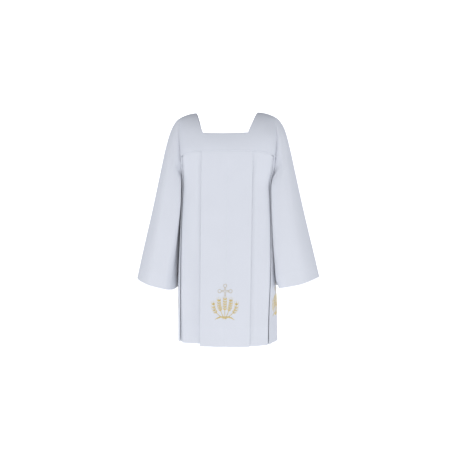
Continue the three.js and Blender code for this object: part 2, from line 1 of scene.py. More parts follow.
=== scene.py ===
"""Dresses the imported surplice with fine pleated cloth, its sewing and gold embroidery, in a pale studio.

The garment's sizes are millimetres, as a maker gives them, and turn into metres where a mesh is made.
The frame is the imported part's own: +Z is up, the front faces -Y, +X is the wearer's left, and the origin
lies between the shoulders, level with the inside of the yoke at the neck points.
"""

import logging
import math
from dataclasses import dataclass
from enum import Enum
from typing import Callable, Sequence

import bpy
import numpy as np
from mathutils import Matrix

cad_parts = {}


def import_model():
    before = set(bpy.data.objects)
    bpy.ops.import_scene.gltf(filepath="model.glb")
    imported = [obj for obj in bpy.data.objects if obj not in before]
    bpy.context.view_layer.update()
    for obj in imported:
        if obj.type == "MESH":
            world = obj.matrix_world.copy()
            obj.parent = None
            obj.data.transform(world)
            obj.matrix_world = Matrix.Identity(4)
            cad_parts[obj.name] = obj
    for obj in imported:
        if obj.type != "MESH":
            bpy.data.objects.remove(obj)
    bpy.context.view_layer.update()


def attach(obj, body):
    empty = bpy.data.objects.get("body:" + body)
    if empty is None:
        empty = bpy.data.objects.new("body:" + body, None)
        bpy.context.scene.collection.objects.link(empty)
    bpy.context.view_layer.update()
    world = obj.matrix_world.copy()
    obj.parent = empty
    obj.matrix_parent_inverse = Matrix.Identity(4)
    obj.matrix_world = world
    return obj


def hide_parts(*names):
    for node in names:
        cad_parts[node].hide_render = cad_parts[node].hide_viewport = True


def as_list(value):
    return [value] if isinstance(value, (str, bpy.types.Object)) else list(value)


LOG = logging.getLogger("surplice")
Array = np.ndarray
MM = 0.001
QUARTER_TURN = math.pi / 2
FULL_TURN = 2 * math.pi

# The garment as a whole
GARMENT_LENGTH = 904.0
SEAM_GAP = 0.3
SINGLE_CLOTH = 0.7
DOUBLED_CLOTH = 1.5
HEM_DEPTH = 71.0
CUFF_HEM_DEPTH = 51.0
HEM_GROOVE = 0.28
HEM_GROOVE_WIDTH = 1.3
DOUBLING_ENDS_ABOVE = 1.2
DOUBLING_FADE = 1.6
LINE_REACH = 4.0

# The yoke and its neck
YOKE_DEPTH = 162.0
YOKE_SEAM_FALL = 24.0
YOKE_SEAM_LEVEL_HALF = 100.0
SHOULDER_SLOPE_FALL = 20.0
RIDGE_ROUNDING = 0.9
NECK_HALF_AT_RIDGE = 122.0
FRONT_NECK_CLOSING = 0.386
BACK_NECK_CLOSING = 0.2
NECK_EDGE_SAG = 2.5
FRONT_NECK_DEPTH = 92.0
BACK_NECK_DEPTH = 66.0

# The armholes
SHOULDER_POINT_HALF = 192.0
ARMHOLE_HALF_DEPTH = 58.0
UNDERARM_Z = -290.0
ARMHOLE_CORNER_Z = -186.0

# The box pleats
FACE_HALF_TOP = 98.0
FACE_HALF_HEM = 95.5
INNER_FOLD_FROM_CENTRE = 10.0
PITCH_TOP = 1.7
PITCH_HEM = 4.2
CREASE_DEPTH = 2.5
CREASE_HALF_WIDTH = 16.0
CREASE_LINE_DEPTH = 0.9
CREASE_LINE_HALF_WIDTH = 3.6
SIDE_FOLD_ARC = 186.0
SIDE_UNDERLAP_TOP = 6.0
SIDE_UNDERLAP_HEM = 46.0
SIDE_EASE = 80.0
FRONT_TOP_SWAY = 7.5
FRONT_HEM_SWAY = -1.2
RIGHT_FOLD_SWAY = -18.0
RIGHT_PANEL_RAISE = 6.0


class Facing(Enum):
    """The front or the back of the garment, as the sign that mirrors Y."""

    FRONT = 1
    BACK = -1


class Hand(Enum):
    """The wearer's side, as the sign of X."""

    LEFT = 1
    RIGHT = -1


def mix(start: Array | float, end: Array | float, share: Array | float) -> Array | float:
    """Goes straight from start to end by a share from 0 to 1."""
    return start + (end - start) * share


def smooth(share: Array | float) -> Array:
    """Rises from 0 to 1 with level ends: three times the square less twice the cube."""
    held = np.clip(share, 0.0, 1.0)
    return held * held * (3.0 - 2.0 * held)


def bell(distance: Array | float, width: float) -> Array:
    """Falls from 1 at no distance as e to the minus square of distance over width."""
    return np.exp(-((distance / width) ** 2))


def rise(value: Array, begins: float, full: float) -> Array:
    """Rises smoothly from 0 where the value is at begins to 1 where it is at full, either way."""
    return smooth((value - begins) / (full - begins))


def rise_and_fall(value: Array, stops: Sequence[float]) -> Array:
    """Rises smoothly from the first stop to the second and falls from the third to the fourth, either way."""
    begins, full, held, gone = stops
    return rise(value, begins, full) * (1 - rise(value, held, gone))


def signed_power(value: Array, power: Array | float) -> Array:
    """Raises the size of a value to a power and keeps its sign."""
    return np.sign(value) * np.abs(value) ** power


def curve_through(values: Array, place: Array) -> Array:
    """Runs a smooth Catmull-Rom curve through table values.

    Args:
        values: The table's column, one value a row.
        place: Row places, with fractions, of any shape.

    Returns:
        The values there. Between two rows it is the cubic whose slopes are half the neighbours' step.
    """
    last = len(values) - 1
    row = np.clip(np.floor(place).astype(int), 0, last - 1)
    t = place - row
    before, start = values[np.maximum(row - 1, 0)], values[row]
    end, after = values[row + 1], values[np.minimum(row + 2, last)]
    slope_start = np.where(row == 0, end - start, (end - before) / 2)
    slope_end = np.where(row == last - 1, end - start, (after - start) / 2)
    return (
        start * (2 * t**3 - 3 * t**2 + 1)
        + slope_start * (t**3 - 2 * t**2 + t)
        + end * (3 * t**2 - 2 * t**3)
        + slope_end * (t**3 - t**2)
    )


def unit(vectors: Array) -> Array:
    """Scales vectors on the last axis to length one."""
    return vectors / np.maximum(np.linalg.norm(vectors, axis=-1, keepdims=True), 1e-12)


def surface_normals(place: Callable[[Array, Array], Array], u: Array, v: Array, du: float, dv: float) -> Array:
    """Finds the directions at right angles to a surface of two parameters.

    Args:
        place: Gives points for the two parameters.
        u: First parameter.
        v: Second parameter.
        du: Small step of the first.
        dv: Small step of the second.

    Returns:
        Unit vectors: the cross product of the surface's steps along u and along v.
    """
    along_u = place(u + du, v) - place(u - du, v)
    along_v = place(u, v + dv) - place(u, v - dv)
    return unit(np.cross(along_u, along_v))


@dataclass(frozen=True)
class Ripples:
    """Soft uneven relief: chance heights on a coarse net, joined by smooth steps.

    Attributes:
        seed: Fixes the chance heights.
        across: Net spacing across the cloth.
        along: Net spacing down the cloth.
        height: Largest height, to either side.
    """

    seed: int
    across: float
    along: float
    height: float
    cells: int = 64

    def at(self, across: Array, along: Array) -> Array:
        """Reads the relief, mixing the four nearest net heights with smooth shares.

        Args:
            across: Places across the cloth.
            along: Places down the cloth.

        Returns:
            Heights at those places.
        """
        net = np.random.default_rng(self.seed).uniform(-1.0, 1.0, (self.cells, self.cells))
        u, v = np.broadcast_arrays(across / self.across, along / self.along)
        i, j = np.floor(u).astype(int), np.floor(v).astype(int)
        s, t = smooth(u - i), smooth(v - j)
        i0, i1, j0, j1 = i % self.cells, (i + 1) % self.cells, j % self.cells, (j + 1) % self.cells
        near = mix(net[i0, j0], net[i1, j0], s)
        far = mix(net[i0, j1], net[i1, j1], s)
        return self.height * mix(near, far, t)


@dataclass(frozen=True)
class SoftFold:
    """One soft upright fold of the skirt.

    Attributes:
        hand: The side it hangs on.
        arc: Way round from the front middle.
        width: Half width of the fold.
        depth: How far the cloth goes in, or out if negative.
        from_z: Height where it begins.
        full_z: Height where it is full.
        beneath: Whether only the cloth behind a pleat's face and beside it takes part.
    """

    hand: Hand
    arc: float
    width: float
    depth: float
    from_z: float
    full_z: float
    beneath: bool = False

    def depth_at(self, hand_sign: Array, arc: Array, z: Array, inset: Array) -> Array:
        """Depth at places round the body, a bell across times a smooth rise down, on its own side."""
        strength = rise(z, self.from_z, self.full_z)
        if self.beneath:
            strength = strength * smooth(inset / PITCH_HEM)
        return (hand_sign == self.hand.value) * self.depth * strength * bell(arc - self.arc, self.width)


BODY_LEVELS = np.array(
    [  # height, half width, half depth, squareness
        (-150.0, 195.0, 110.0, 3.0),
        (-230.0, 183.0, 115.0, 3.0),
        (-290.0, 177.0, 118.0, 2.95),
        (-400.0, 181.0, 124.0, 2.85),
        (-550.0, 188.0, 132.0, 2.75),
        (-700.0, 195.0, 139.0, 2.65),
        (-904.0, 197.0, 145.0, 2.6),
    ]
)
BODY_FOLDS = (
    SoftFold(Hand.LEFT, 232.0, 46.0, 15.0, -560.0, -820.0),
    SoftFold(Hand.LEFT, 345.0, 52.0, -7.0, -620.0, -860.0),
    SoftFold(Hand.RIGHT, 262.0, 40.0, 7.0, -600.0, -860.0),
    SoftFold(Hand.RIGHT, 372.0, 46.0, 8.0, -560.0, -860.0),
    SoftFold(Hand.LEFT, 452.0, 34.0, 5.0, -480.0, -800.0),
    SoftFold(Hand.RIGHT, 470.0, 36.0, 6.0, -440.0, -780.0),
    SoftFold(Hand.RIGHT, 90.0, 46.0, 12.0, -300.0, -640.0, beneath=True),
    SoftFold(Hand.RIGHT, 94.0, 12.0, 3.0, -165.0, -230.0, beneath=True),
    SoftFold(Hand.LEFT, 102.0, 12.0, 3.0, -165.0, -230.0, beneath=True),
    SoftFold(Hand.RIGHT, 172.0, 9.0, -4.0, -260.0, -520.0, beneath=True),
    SoftFold(Hand.LEFT, 172.0, 9.0, -4.0, -260.0, -520.0, beneath=True),
    SoftFold(Hand.RIGHT, 181.0, 8.0, -1.8, -300.0, -560.0, beneath=True),
    SoftFold(Hand.LEFT, 181.0, 8.0, -1.8, -300.0, -560.0, beneath=True),
    SoftFold(Hand.LEFT, 168.0, 24.0, -3.0, -200.0, -430.0),
    SoftFold(Hand.RIGHT, 168.0, 24.0, -3.0, -200.0, -430.0),
    SoftFold(Hand.RIGHT, 118.0, 13.0, 1.6, -250.0, -620.0),
    SoftFold(Hand.RIGHT, 146.0, 15.0, -1.3, -330.0, -760.0),
    SoftFold(Hand.LEFT, 136.0, 12.0, 1.1, -200.0, -300.0),
    SoftFold(Hand.LEFT, 152.0, 16.0, 1.2, -420.0, -780.0),
    SoftFold(Hand.RIGHT, 48.0, 22.0, 1.3, -360.0, -800.0),
    SoftFold(Hand.LEFT, 55.0, 20.0, 1.4, -300.0, -820.0),
)


@dataclass(frozen=True)
class ArmholeEase:
    """How the wearer's left armhole seam is worn a little further out.

    Attributes:
        most: The whole move along X.
        across: X at which the move begins, is full, is held and is gone.
        along: Z at which the move begins, is full, is held and is gone, from the top down.
    """

    most: float = 11.0
    across: tuple[float, float, float, float] = (95.0, 172.0, 192.0, 250.0)
    along: tuple[float, float, float, float] = (-30.0, -110.0, -215.0, -310.0)

    def moved(self, points: Array) -> Array:
        """Moves points out by the smooth rise and fall across times those along."""
        weight = rise_and_fall(points[..., 0], self.across) * rise_and_fall(points[..., 2], self.along)
        result = points.copy()
        result[..., 0] += self.most * weight
        return result


@dataclass(frozen=True)
class SideSquaring:
    """How the corners of the body hang squarer below the arms, with the sleeves beside them.

    Attributes:
        left: The whole move out on the wearer's left.
        right: The whole move out on the wearer's right.
        across: Distance along X at which the move begins, is full, is held and is gone.
        beside: Distance along Y at which it begins and is full.
        along: Z at which it begins, is full, is held and is gone, from the top down.
    """

    left: float = 5.5
    right: float = 5.0
    across: tuple[float, float, float, float] = (110.0, 168.0, 195.0, 265.0)
    beside: tuple[float, float] = (34.0, 70.0)
    along: tuple[float, float, float, float] = (-235.0, -350.0, -430.0, -890.0)

    def moved(self, points: Array) -> Array:
        """Moves points out by the product of smooth rises and falls across, beside and along."""
        x, y, z = np.abs(points[..., 0]), np.abs(points[..., 1]), points[..., 2]
        weight = rise_and_fall(x, self.across) * rise_and_fall(z, self.along)
        weight = weight * rise(y, *self.beside)
        result = points.copy()
        result[..., 0] += np.where(points[..., 0] > 0, self.left, -self.right) * weight
        return result


@dataclass(frozen=True)
class ArmholeCrease:
    """The crease into which the cloth sinks beside the armhole seam, in front and behind.

    Attributes:
        depth: How far it sinks.
        width: Half width of the crease.
        along: Z at which it begins, is full, is held and is gone, from the top down.
        faces: Distance along Y over which it grows from the middle plane.
    """

    depth: float = 5.0
    width: float = 4.5
    along: tuple[float, float, float, float] = (-50.0, -180.0, -240.0, -305.0)
    faces: float = 36.0

    def pressed(self, points: Array, seam_z: Array, seam_x: Array) -> Array:
        """Moves points towards the middle plane by a bell of their distance from the seam along X.

        Args:
            points: Points of any piece.
            seam_z: Rising heights of the armhole seam.
            seam_x: Its distance from the middle at those heights.

        Returns:
            The moved points.
        """
        x, y, z = points[..., 0], points[..., 1], points[..., 2]
        beside = bell(np.abs(x) - np.interp(z, seam_z, seam_x) - 1.0, self.width)
        weight = beside * rise_and_fall(z, self.along) * smooth(np.abs(y) / self.faces)
        result = points.copy()
        result[..., 1] -= np.sign(y) * self.depth * weight
        return result


class BodyForm:
    """The hollow form on which the skirt hangs: superellipse sections, measured by the way round them.

    Each section is x = a cos^(2/n), y = b sin^(2/n), run from the front middle round the wearer's left to
    the back middle and then read at even steps of its length.
    """

    TOP_Z, LOW_Z, LEVEL_STEP = -140.0, -912.0, 3.0
    SECTION_SAMPLES, ROUND_SAMPLES = 361, 721
    RIPPLES_FROM, RIPPLES_GROW = -170.0, 220.0
    STILL_HALF_WIDTH, STILL_ABOVE, STILL_FADE = 60.0, -730.0, 60.0

    def __init__(self) -> None:
        """Works out the tables of sections once."""
        z = np.arange(self.TOP_Z, self.LOW_Z, -self.LEVEL_STEP)
        rows = np.clip(np.searchsorted(-BODY_LEVELS[:, 0], -z, side="right") - 1, 0, len(BODY_LEVELS) - 2)
        start, end = BODY_LEVELS[rows, 0], BODY_LEVELS[rows + 1, 0]
        place = rows + np.clip((z - start) / (end - start), 0.0, 1.0)
        half_width, half_depth, square = (curve_through(BODY_LEVELS[:, k], place) for k in (1, 2, 3))
        angle = math.pi * (np.arange(self.SECTION_SAMPLES) / (self.SECTION_SAMPLES - 1) - 0.5)
        power = (2.0 / square)[:, None]
        x = half_width[:, None] * np.maximum(0.0, np.cos(angle)) ** power
        y = half_depth[:, None] * signed_power(np.sin(angle), power)
        steps = np.hypot(np.diff(x, axis=1), np.diff(y, axis=1))
        arc = np.concatenate([np.zeros((len(z), 1)), np.cumsum(steps, axis=1)], axis=1)
        self.half_girth = arc[:, -1]
        share = np.linspace(0.0, 1.0, self.ROUND_SAMPLES)
        self.x = np.array([np.interp(share * a[-1], a, row) for a, row in zip(arc, x)])
        self.y = np.array([np.interp(share * a[-1], a, row) for a, row in zip(arc, y)])
        along_x, along_y = self._evened(self.x), self._evened(self.y)
        length = np.hypot(along_x, along_y)
        self.out_x, self.out_y = along_y / length, -along_x / length
        self.ripples = (Ripples(11, 62.0, 210.0, 1.1), Ripples(12, 34.0, 120.0, 0.35))
        turn_share = np.linspace(1.0, 0.0, 41)
        low_z = mix(ARMHOLE_CORNER_Z, UNDERARM_Z, np.sin(turn_share * QUARTER_TURN))
        low_arc = self.arc_at_y(low_z, -ARMHOLE_HALF_DEPTH * np.cos(turn_share * QUARTER_TURN))
        low_x, _ = self.section_point(low_z, low_arc)
        self.seam_z = np.concatenate([low_z, [-SHOULDER_SLOPE_FALL]])
        self.seam_x = np.concatenate([low_x, [SHOULDER_POINT_HALF]])

    def worn(self, points: Array) -> Array:
        """Presses in the armhole creases, lets out the left armhole and squares the sides, for every piece."""
        eased = ArmholeEase().moved(ArmholeCrease().pressed(points, self.seam_z, self.seam_x))
        return SideSquaring().moved(eased)

    @staticmethod
    def _evened(rows: Array) -> Array:
        """Slope along each row, averaged over a few samples so that corners stay soft."""
        slope = np.gradient(rows, axis=1)
        padded = np.pad(slope, ((0, 0), (3, 3)), mode="edge")
        return sum(padded[:, k : k + slope.shape[1]] for k in range(7)) / 7.0

    def _between_levels(self, z: Array) -> tuple[Array, Array, Array]:
        """The table row above each height, the share of the way to the next one, and the half girth there."""
        level = np.clip((self.TOP_Z - z) / self.LEVEL_STEP, 0.0, len(self.half_girth) - 1.001)
        low = level.astype(int)
        return low, level - low, mix(self.half_girth[low], self.half_girth[low + 1], level - low)

    def _mixer(self, z: Array, arc: Array) -> tuple[Callable[[Array], Array], Array]:
        """Prepares a look-up between the four nearest table entries, and gives the half girth there."""
        low, t, girth = self._between_levels(z)
        sample = np.clip(np.abs(arc) / girth, 0.0, 0.99999) * (self.ROUND_SAMPLES - 1)
        left = sample.astype(int)
        u = sample - left

        def look(table: Array) -> Array:
            """Mixes along the section first and then between the two sections."""
            return mix(
                mix(table[low, left], table[low, left + 1], u),
                mix(table[low + 1, left], table[low + 1, left + 1], u),
                t,
            )

        return look, girth

    def section_point(self, z: Array, arc: Array) -> tuple[Array, Array]:
        """The plain section's x and y at a height and a way round."""
        z, arc = np.broadcast_arrays(np.asarray(z, float), np.asarray(arc, float))
        look, _ = self._mixer(z, arc)
        return look(self.x), look(self.y)

    def arc_at_y(self, z: Array, y: Array) -> Array:
        """The way round at which each section of height z has a given y."""
        low, t, girth = self._between_levels(z)
        share = np.linspace(0.0, 1.0, self.ROUND_SAMPLES)
        rows = mix(self.y[low], self.y[low + 1], t[:, None])
        return np.array([np.interp(value, row, share * g) for value, row, g in zip(y, rows, girth)])

    def point(self, z: Array, arc: Array, inset: Array | float, facing: Facing) -> Array:
        """Places cloth on the form.

        Args:
            z: Heights.
            arc: Signed way round from the front or back middle, positive to the wearer's left.
            inset: How far inside the form, along its own outward direction.
            facing: The middle from which arc is counted.

        Returns:
            Points with the soft folds and ripples taken off along the outward direction.
        """
        z, arc, inset = np.broadcast_arrays(np.asarray(z, float), np.asarray(arc, float), np.asarray(inset, float))
        look, girth = self._mixer(z, arc)
        hand_sign = np.where(arc < 0, -1, 1)
        from_front = np.abs(arc) if facing is Facing.FRONT else girth - np.abs(arc)
        inward = inset + sum(fold.depth_at(hand_sign, from_front, z, inset) for fold in BODY_FOLDS)
        beside_sleeve = bell(from_front - girth / 2, self.STILL_HALF_WIDTH)
        beside_sleeve = beside_sleeve * smooth((z - self.STILL_ABOVE) / self.STILL_FADE)
        grown = smooth((self.RIPPLES_FROM - z) / self.RIPPLES_GROW) * (1.0 - beside_sleeve)
        signed = hand_sign * from_front
        inward = inward + grown * sum(ripple.at(signed, z) for ripple in self.ripples)
        x = hand_sign * (look(self.x) - look(self.out_x) * inward)
        y = facing.value * (look(self.y) - look(self.out_y) * inward)
        return self.worn(np.stack([x, y, z], axis=-1))


def top_sway(arc: Array, facing: Facing) -> Array:
    """How far a line of the front moves round at the yoke seam: full across the pleat, none at the folds."""
    if facing is Facing.BACK:
        return np.zeros_like(arc)
    return FRONT_TOP_SWAY * (1 - rise(np.abs(arc), FACE_HALF_TOP, SIDE_FOLD_ARC))


def past_right_fold(arc: Array) -> Array:
    """Rises from 0 to 1 over the ease beyond the side fold on the wearer's right."""
    return smooth((-arc - SIDE_FOLD_ARC) / SIDE_EASE)


def hem_sway(arc: Array, facing: Facing) -> Array:
    """How far a line of the front moves round at the hem: a little at the pleat, most at the right fold."""
    if facing is Facing.BACK:
        return np.zeros_like(arc)
    towards_left = rise(arc, -FACE_HALF_HEM, SIDE_FOLD_ARC)
    towards_right = rise(-arc, FACE_HALF_HEM, SIDE_FOLD_ARC)
    return mix(FRONT_HEM_SWAY * (1 - towards_left), RIGHT_FOLD_SWAY, towards_right) * (1 - past_right_fold(arc))


def hem_raise(arc: Array, facing: Facing) -> Array:
    """How far the hem is drawn up beside and behind the pleat on the wearer's right."""
    if facing is Facing.BACK:
        return np.zeros_like(arc)
    return RIGHT_PANEL_RAISE * rise(-arc, FACE_HALF_HEM / 2, FACE_HALF_HEM) * (1 - past_right_fold(arc))


def yoke_seam_z(arc: Array) -> Array:
    """Height of the yoke seam: level in the middle, then falling with the square of the way beyond."""
    beyond = np.maximum(0.0, np.abs(arc) - YOKE_SEAM_LEVEL_HALF) / YOKE_SEAM_LEVEL_HALF
    return -YOKE_DEPTH - YOKE_SEAM_FALL * beyond**2


@dataclass
class Course:
    """The way of pleated cloth round the body, one entry a column, at its top and at its hem."""

    top_arc: Array
    hem_arc: Array
    top_inset: Array
    hem_inset: Array
    drawn_up: Array

    def each(self, change: Callable[[Array], Array]) -> "Course":
        """A course with one change made to all its lists of columns."""
        return Course(*(change(getattr(self, name)) for name in self.__dataclass_fields__))

    def turned_back(self) -> "Course":
        """The same course, run the other way."""
        return self.each(lambda values: values[::-1])

    def mirrored(self) -> "Course":
        """The same course on the other side, run the other way."""
        back = self.turned_back()
        back.top_arc, back.hem_arc = -back.top_arc, -back.hem_arc
        return back

    def at(self, column: Array) -> "Course":
        """Reads the course at column places with fractions."""
        numbers = np.arange(len(self.top_arc))
        return self.each(lambda values: np.interp(column, numbers, values))

    @staticmethod
    def joined(parts: Sequence["Course"]) -> "Course":
        """Joins stretches end to end, leaving out each one's first column where it repeats the last."""
        first, *later = parts
        names = first.__dataclass_fields__
        return Course(*(np.concatenate([getattr(first, n), *(getattr(p, n)[1:] for p in later)]) for n in names))


def straight(top: tuple[float, float], hem: tuple[float, float], layer: float, up: float, count: int) -> Course:
    """A flat stretch of cloth on one layer.

    Args:
        top: Its first and last way round at the top.
        hem: The same at the hem.
        layer: Layer number, 0 outermost.
        up: Whether its hem is drawn up with the panels, from 0 to 1.
        count: Number of columns.

    Returns:
        The stretch.
    """
    level = np.full(count, layer)
    return Course(
        np.linspace(*top, count),
        np.linspace(*hem, count),
        level * PITCH_TOP,
        level * PITCH_HEM,
        np.full(count, up),
    )


def turn(top: float, hem: float, layer: int, away: int, ups: tuple[float, float], count: int = 9) -> Course:
    """A fold from one layer to the next: half a circle across the gap between them.

    Args:
        top: Way round of the fold's edge at the top.
        hem: The same at the hem.
        layer: The lower layer number of the two.
        away: 1 where the fold points away from the middle, -1 where it points to it.
        ups: How far the hem is drawn up before and after the fold.
        count: Number of columns.

    Returns:
        The fold, running from the layer to the next one.
    """
    angle = np.linspace(0.0, math.pi, count)
    back = 0.5 * away * (1.0 - np.sin(angle))
    depth = layer + 0.5 * (1.0 - np.cos(angle))
    return Course(
        top - back * PITCH_TOP,
        hem - back * PITCH_HEM,
        depth * PITCH_TOP,
        depth * PITCH_HEM,
        np.linspace(*ups, count),
    )


@dataclass
class Sheet:
    """A sheet of cloth: points of its middle, four-sided cells seen from outside, and its flat cut.

    Attributes:
        points: Middle points, one a row.
        cells: Point numbers of each cell.
        corners: Place of each cell's corners in the flat cut.
        flat: Place of each point in the flat cut.
        doubled: How far the cloth is doubled on its inner side, from 0 to 1.
        groove: How far stitching presses the outer side in.
    """

    points: Array
    cells: Array
    corners: Array
    flat: Array
    doubled: Array
    groove: Array

    @staticmethod
    def from_grid(
        points: Array,
        flat: Array,
        doubled: Array,
        groove: Array,
        *,
        turned: bool,
        girth: Array | None = None,
        keeps: Array | None = None,
    ) -> "Sheet":
        """Makes a sheet of a grid.

        Args:
            points: Grid of points, rows by columns.
            flat: Grid of places in the flat cut.
            doubled: Grid of doubling.
            groove: Grid of groove depths.
            turned: Whether the cells' order is turned round so that they face out.
            girth: For a tube, the flat width of each row, which closes the last column to the first.
            keeps: Which cells are kept, rows by columns, or all.

        Returns:
            The sheet.
        """
        rows, columns = points.shape[:2]
        number = np.arange(rows * columns).reshape(rows, columns)
        wide = number if girth is None else np.hstack([number, number[:, :1]])
        place = flat
        if girth is not None:
            closing = flat[:, :1] + np.stack([girth, np.zeros_like(girth)], axis=-1)[:, None, :]
            place = np.hstack([flat, closing])
        cells = np.stack([wide[:-1, :-1], wide[1:, :-1], wide[1:, 1:], wide[:-1, 1:]], axis=-1)
        corners = np.stack([place[:-1, :-1], place[1:, :-1], place[1:, 1:], place[:-1, 1:]], axis=-2)
        kept = np.ones(cells.shape[:2], bool) if keeps is None else keeps
        cells, corners = cells[kept], corners[kept]
        if turned:
            cells, corners = cells[:, ::-1], corners[:, ::-1]
        used, cells = np.unique(cells, return_inverse=True)
        return Sheet(
            points.reshape(-1, 3)[used],
            cells.reshape(-1, 4),
            corners,
            flat.reshape(-1, 2)[used],
            doubled.ravel()[used],
            groove.ravel()[used],
        )

    def normals(self) -> Array:
        """Outward directions: each point's sum of the cross products of its cells' diagonals."""
        a, b, c, d = (self.points[self.cells[:, k]] for k in range(4))
        across = np.cross(c - a, d - b)
        total = np.zeros_like(self.points)
        for k in range(4):
            np.add.at(total, self.cells[:, k], across)
        return unit(total)

    def area(self) -> float:
        """The cloth's area in square metres, two triangles a cell."""
        a, b, c, d = (self.points[self.cells[:, k]] for k in range(4))
        first = np.linalg.norm(np.cross(b - a, c - a), axis=1).sum()
        second = np.linalg.norm(np.cross(c - a, d - a), axis=1).sum()
        return float((first + second) / 2 * MM * MM)

    def cut(self) -> tuple[float, float]:
        """Width and length in metres of the rectangle from which the sheet is cut."""
        span = self.corners.reshape(-1, 2)
        size = (span.max(axis=0) - span.min(axis=0)) * MM
        return float(size[0]), float(size[1])

    def _edges(self) -> Array:
        """Directed cell edges that no neighbour shares, which are the sheet's free edges."""
        ends = np.concatenate([self.cells[:, [k, (k + 1) % 4]] for k in range(4)])
        count = len(self.points)
        forward = ends[:, 0] * count + ends[:, 1]
        backward = ends[:, 1] * count + ends[:, 0]
        return ends[~np.isin(forward, backward)]

    def as_wall(self, name: str, finish: "Finish") -> bpy.types.Object:
        """Gives the sheet its thickness and rounded free edges, as one closed mesh.

        The outer side lies half a single cloth outside the middle. The inner side lies a whole thickness
        inside the outer one, more where the cloth is doubled. A free edge gets one more row of points half
        a thickness beyond it, so that the edge turns round softly.

        Args:
            name: The piece's name.
            finish: Its finish.

        Returns:
            The new object.
        """
        normal = self.normals()
        half = SINGLE_CLOTH / 2
        thickness = mix(SINGLE_CLOTH, DOUBLED_CLOTH, self.doubled)[:, None]
        outer = self.points + normal * (half - self.groove[:, None])
        inner = self.points + normal * (half - thickness)
        edges = self._edges()
        run = unit(self.points[edges[:, 1]] - self.points[edges[:, 0]])
        beyond = np.zeros_like(self.points)
        for k in range(2):
            np.add.at(beyond, edges[:, k], np.cross(run, normal[edges[:, k]]))
        rim = (outer + inner) / 2 + unit(beyond) * thickness / 2
        count = len(self.points)
        rim_of = np.full(count, -1)
        on_rim = np.unique(edges)
        rim_of[on_rim] = 2 * count + np.arange(len(on_rim))
        first, second = edges[:, 0], edges[:, 1]
        strips = (
            np.stack([second, first, rim_of[first], rim_of[second]], axis=-1),
            np.stack([rim_of[second], rim_of[first], first + count, second + count], axis=-1),
        )
        cells = np.concatenate([self.cells, self.cells[:, ::-1] + count, *strips])
        edge_flat = np.stack([self.flat[second], self.flat[first], self.flat[first], self.flat[second]], axis=1)
        corners = np.concatenate([self.corners, self.corners[:, ::-1], edge_flat, edge_flat])
        points = np.concatenate([outer, inner, rim[on_rim]])
        doubled = np.concatenate([self.doubled, self.doubled, self.doubled[on_rim]])
        return make_piece(name, points, cells, corners, finish, doubled)


def make_piece(
    name: str,
    points: Array,
    cells: Array,
    corners: Array,
    finish: "Finish",
    doubled: Array | None = None,
) -> bpy.types.Object:
    """Makes an object of four-sided cells.

    Args:
        name: The piece's name.
        points: Points in millimetres.
        cells: Point numbers of each cell, facing out.
        corners: Flat place of each cell's corners, in millimetres.
        finish: The piece's finish.
        doubled: How far the cloth is doubled at each point, if it is cloth.

    Returns:
        The object, at the origin, with its material and smooth shading.
    """
    mesh = bpy.data.meshes.new(name)
    mesh.from_pydata((points * MM).tolist(), [], cells.tolist())
    layer = mesh.uv_layers.new(name="cloth")
    layer.data.foreach_set("uv", (corners.reshape(-1, 2) * MM).astype(np.float32).ravel())
    if doubled is not None:
        store = mesh.attributes.new("doubled", "FLOAT", "POINT")
        store.data.foreach_set("value", doubled.astype(np.float32))
    mesh.polygons.foreach_set("use_smooth", np.ones(len(cells), bool))
    mesh.materials.append(finish.material())
    mesh.update()
    piece = bpy.data.objects.new(name, mesh)
    bpy.context.scene.collection.objects.link(piece)
    return piece


def way_along(points: Array, axis: int) -> Array:
    """Distance of each point of a grid from the first one, summed over the steps of an axis."""
    steps = np.linalg.norm(np.diff(points, axis=axis), axis=-1)
    return np.concatenate([np.zeros_like(np.take(steps, [0], axis)), np.cumsum(steps, axis)], axis)


def tube_cells(rows: int, around: int) -> tuple[Array, Array]:
    """Numbers a tube's points row by row, and gives the four-sided cells of its sides."""
    number = np.arange(rows * around).reshape(rows, around)
    after = np.roll(number, -1, axis=1)
    return number, np.stack([number[:-1], after[:-1], after[1:], number[1:]], axis=-1).reshape(-1, 4)


def flat_places(points: Array, rows_from_top: Array) -> Array:
    """Lays a grid flat: across by its longest row's own steps, down by given distances.

    Args:
        points: Grid of points.
        rows_from_top: Distance down the cloth of each grid point.

    Returns:
        Grid of flat places, with the middle column at nought across.
    """
    ways = way_along(points, 1)
    across = ways[ways[:, -1].argmax()]
    across = across - across[len(across) // 2]
    return np.stack([np.broadcast_to(across, rows_from_top.shape), -rows_from_top], axis=-1)


class Finish:
    """A finish whose material is made once and shared by all pieces that have it."""

    _made: dict["Finish", bpy.types.Material] = {}

    def material(self) -> bpy.types.Material:
        """The material, made at the first call."""
        if self not in Finish._made:
            made = bpy.data.materials.new(type(self).__name__)
            made.use_nodes = True
            self.dress(made.node_tree)
            Finish._made[self] = made
        return Finish._made[self]

    def dress(self, tree: bpy.types.NodeTree) -> None:
        """Adds the finish's nodes to a material."""
        raise NotImplementedError


def shader_of(tree: bpy.types.NodeTree) -> bpy.types.Node:
    """The surface shader that a new material starts with."""
    return next(node for node in tree.nodes if node.type == "BSDF_PRINCIPLED")


def add_node(tree: bpy.types.NodeTree, kind: str, **settings: object) -> bpy.types.Node:
    """Adds a node and sets its properties."""
    node = tree.nodes.new(kind)
    for name, value in settings.items():
        setattr(node, name, value)
    return node


def set_inputs(node: bpy.types.Node, values: dict[str, object]) -> None:
    """Sets a node's own values by the names of its inputs."""
    for name, value in values.items():
        node.inputs[name].default_value = value


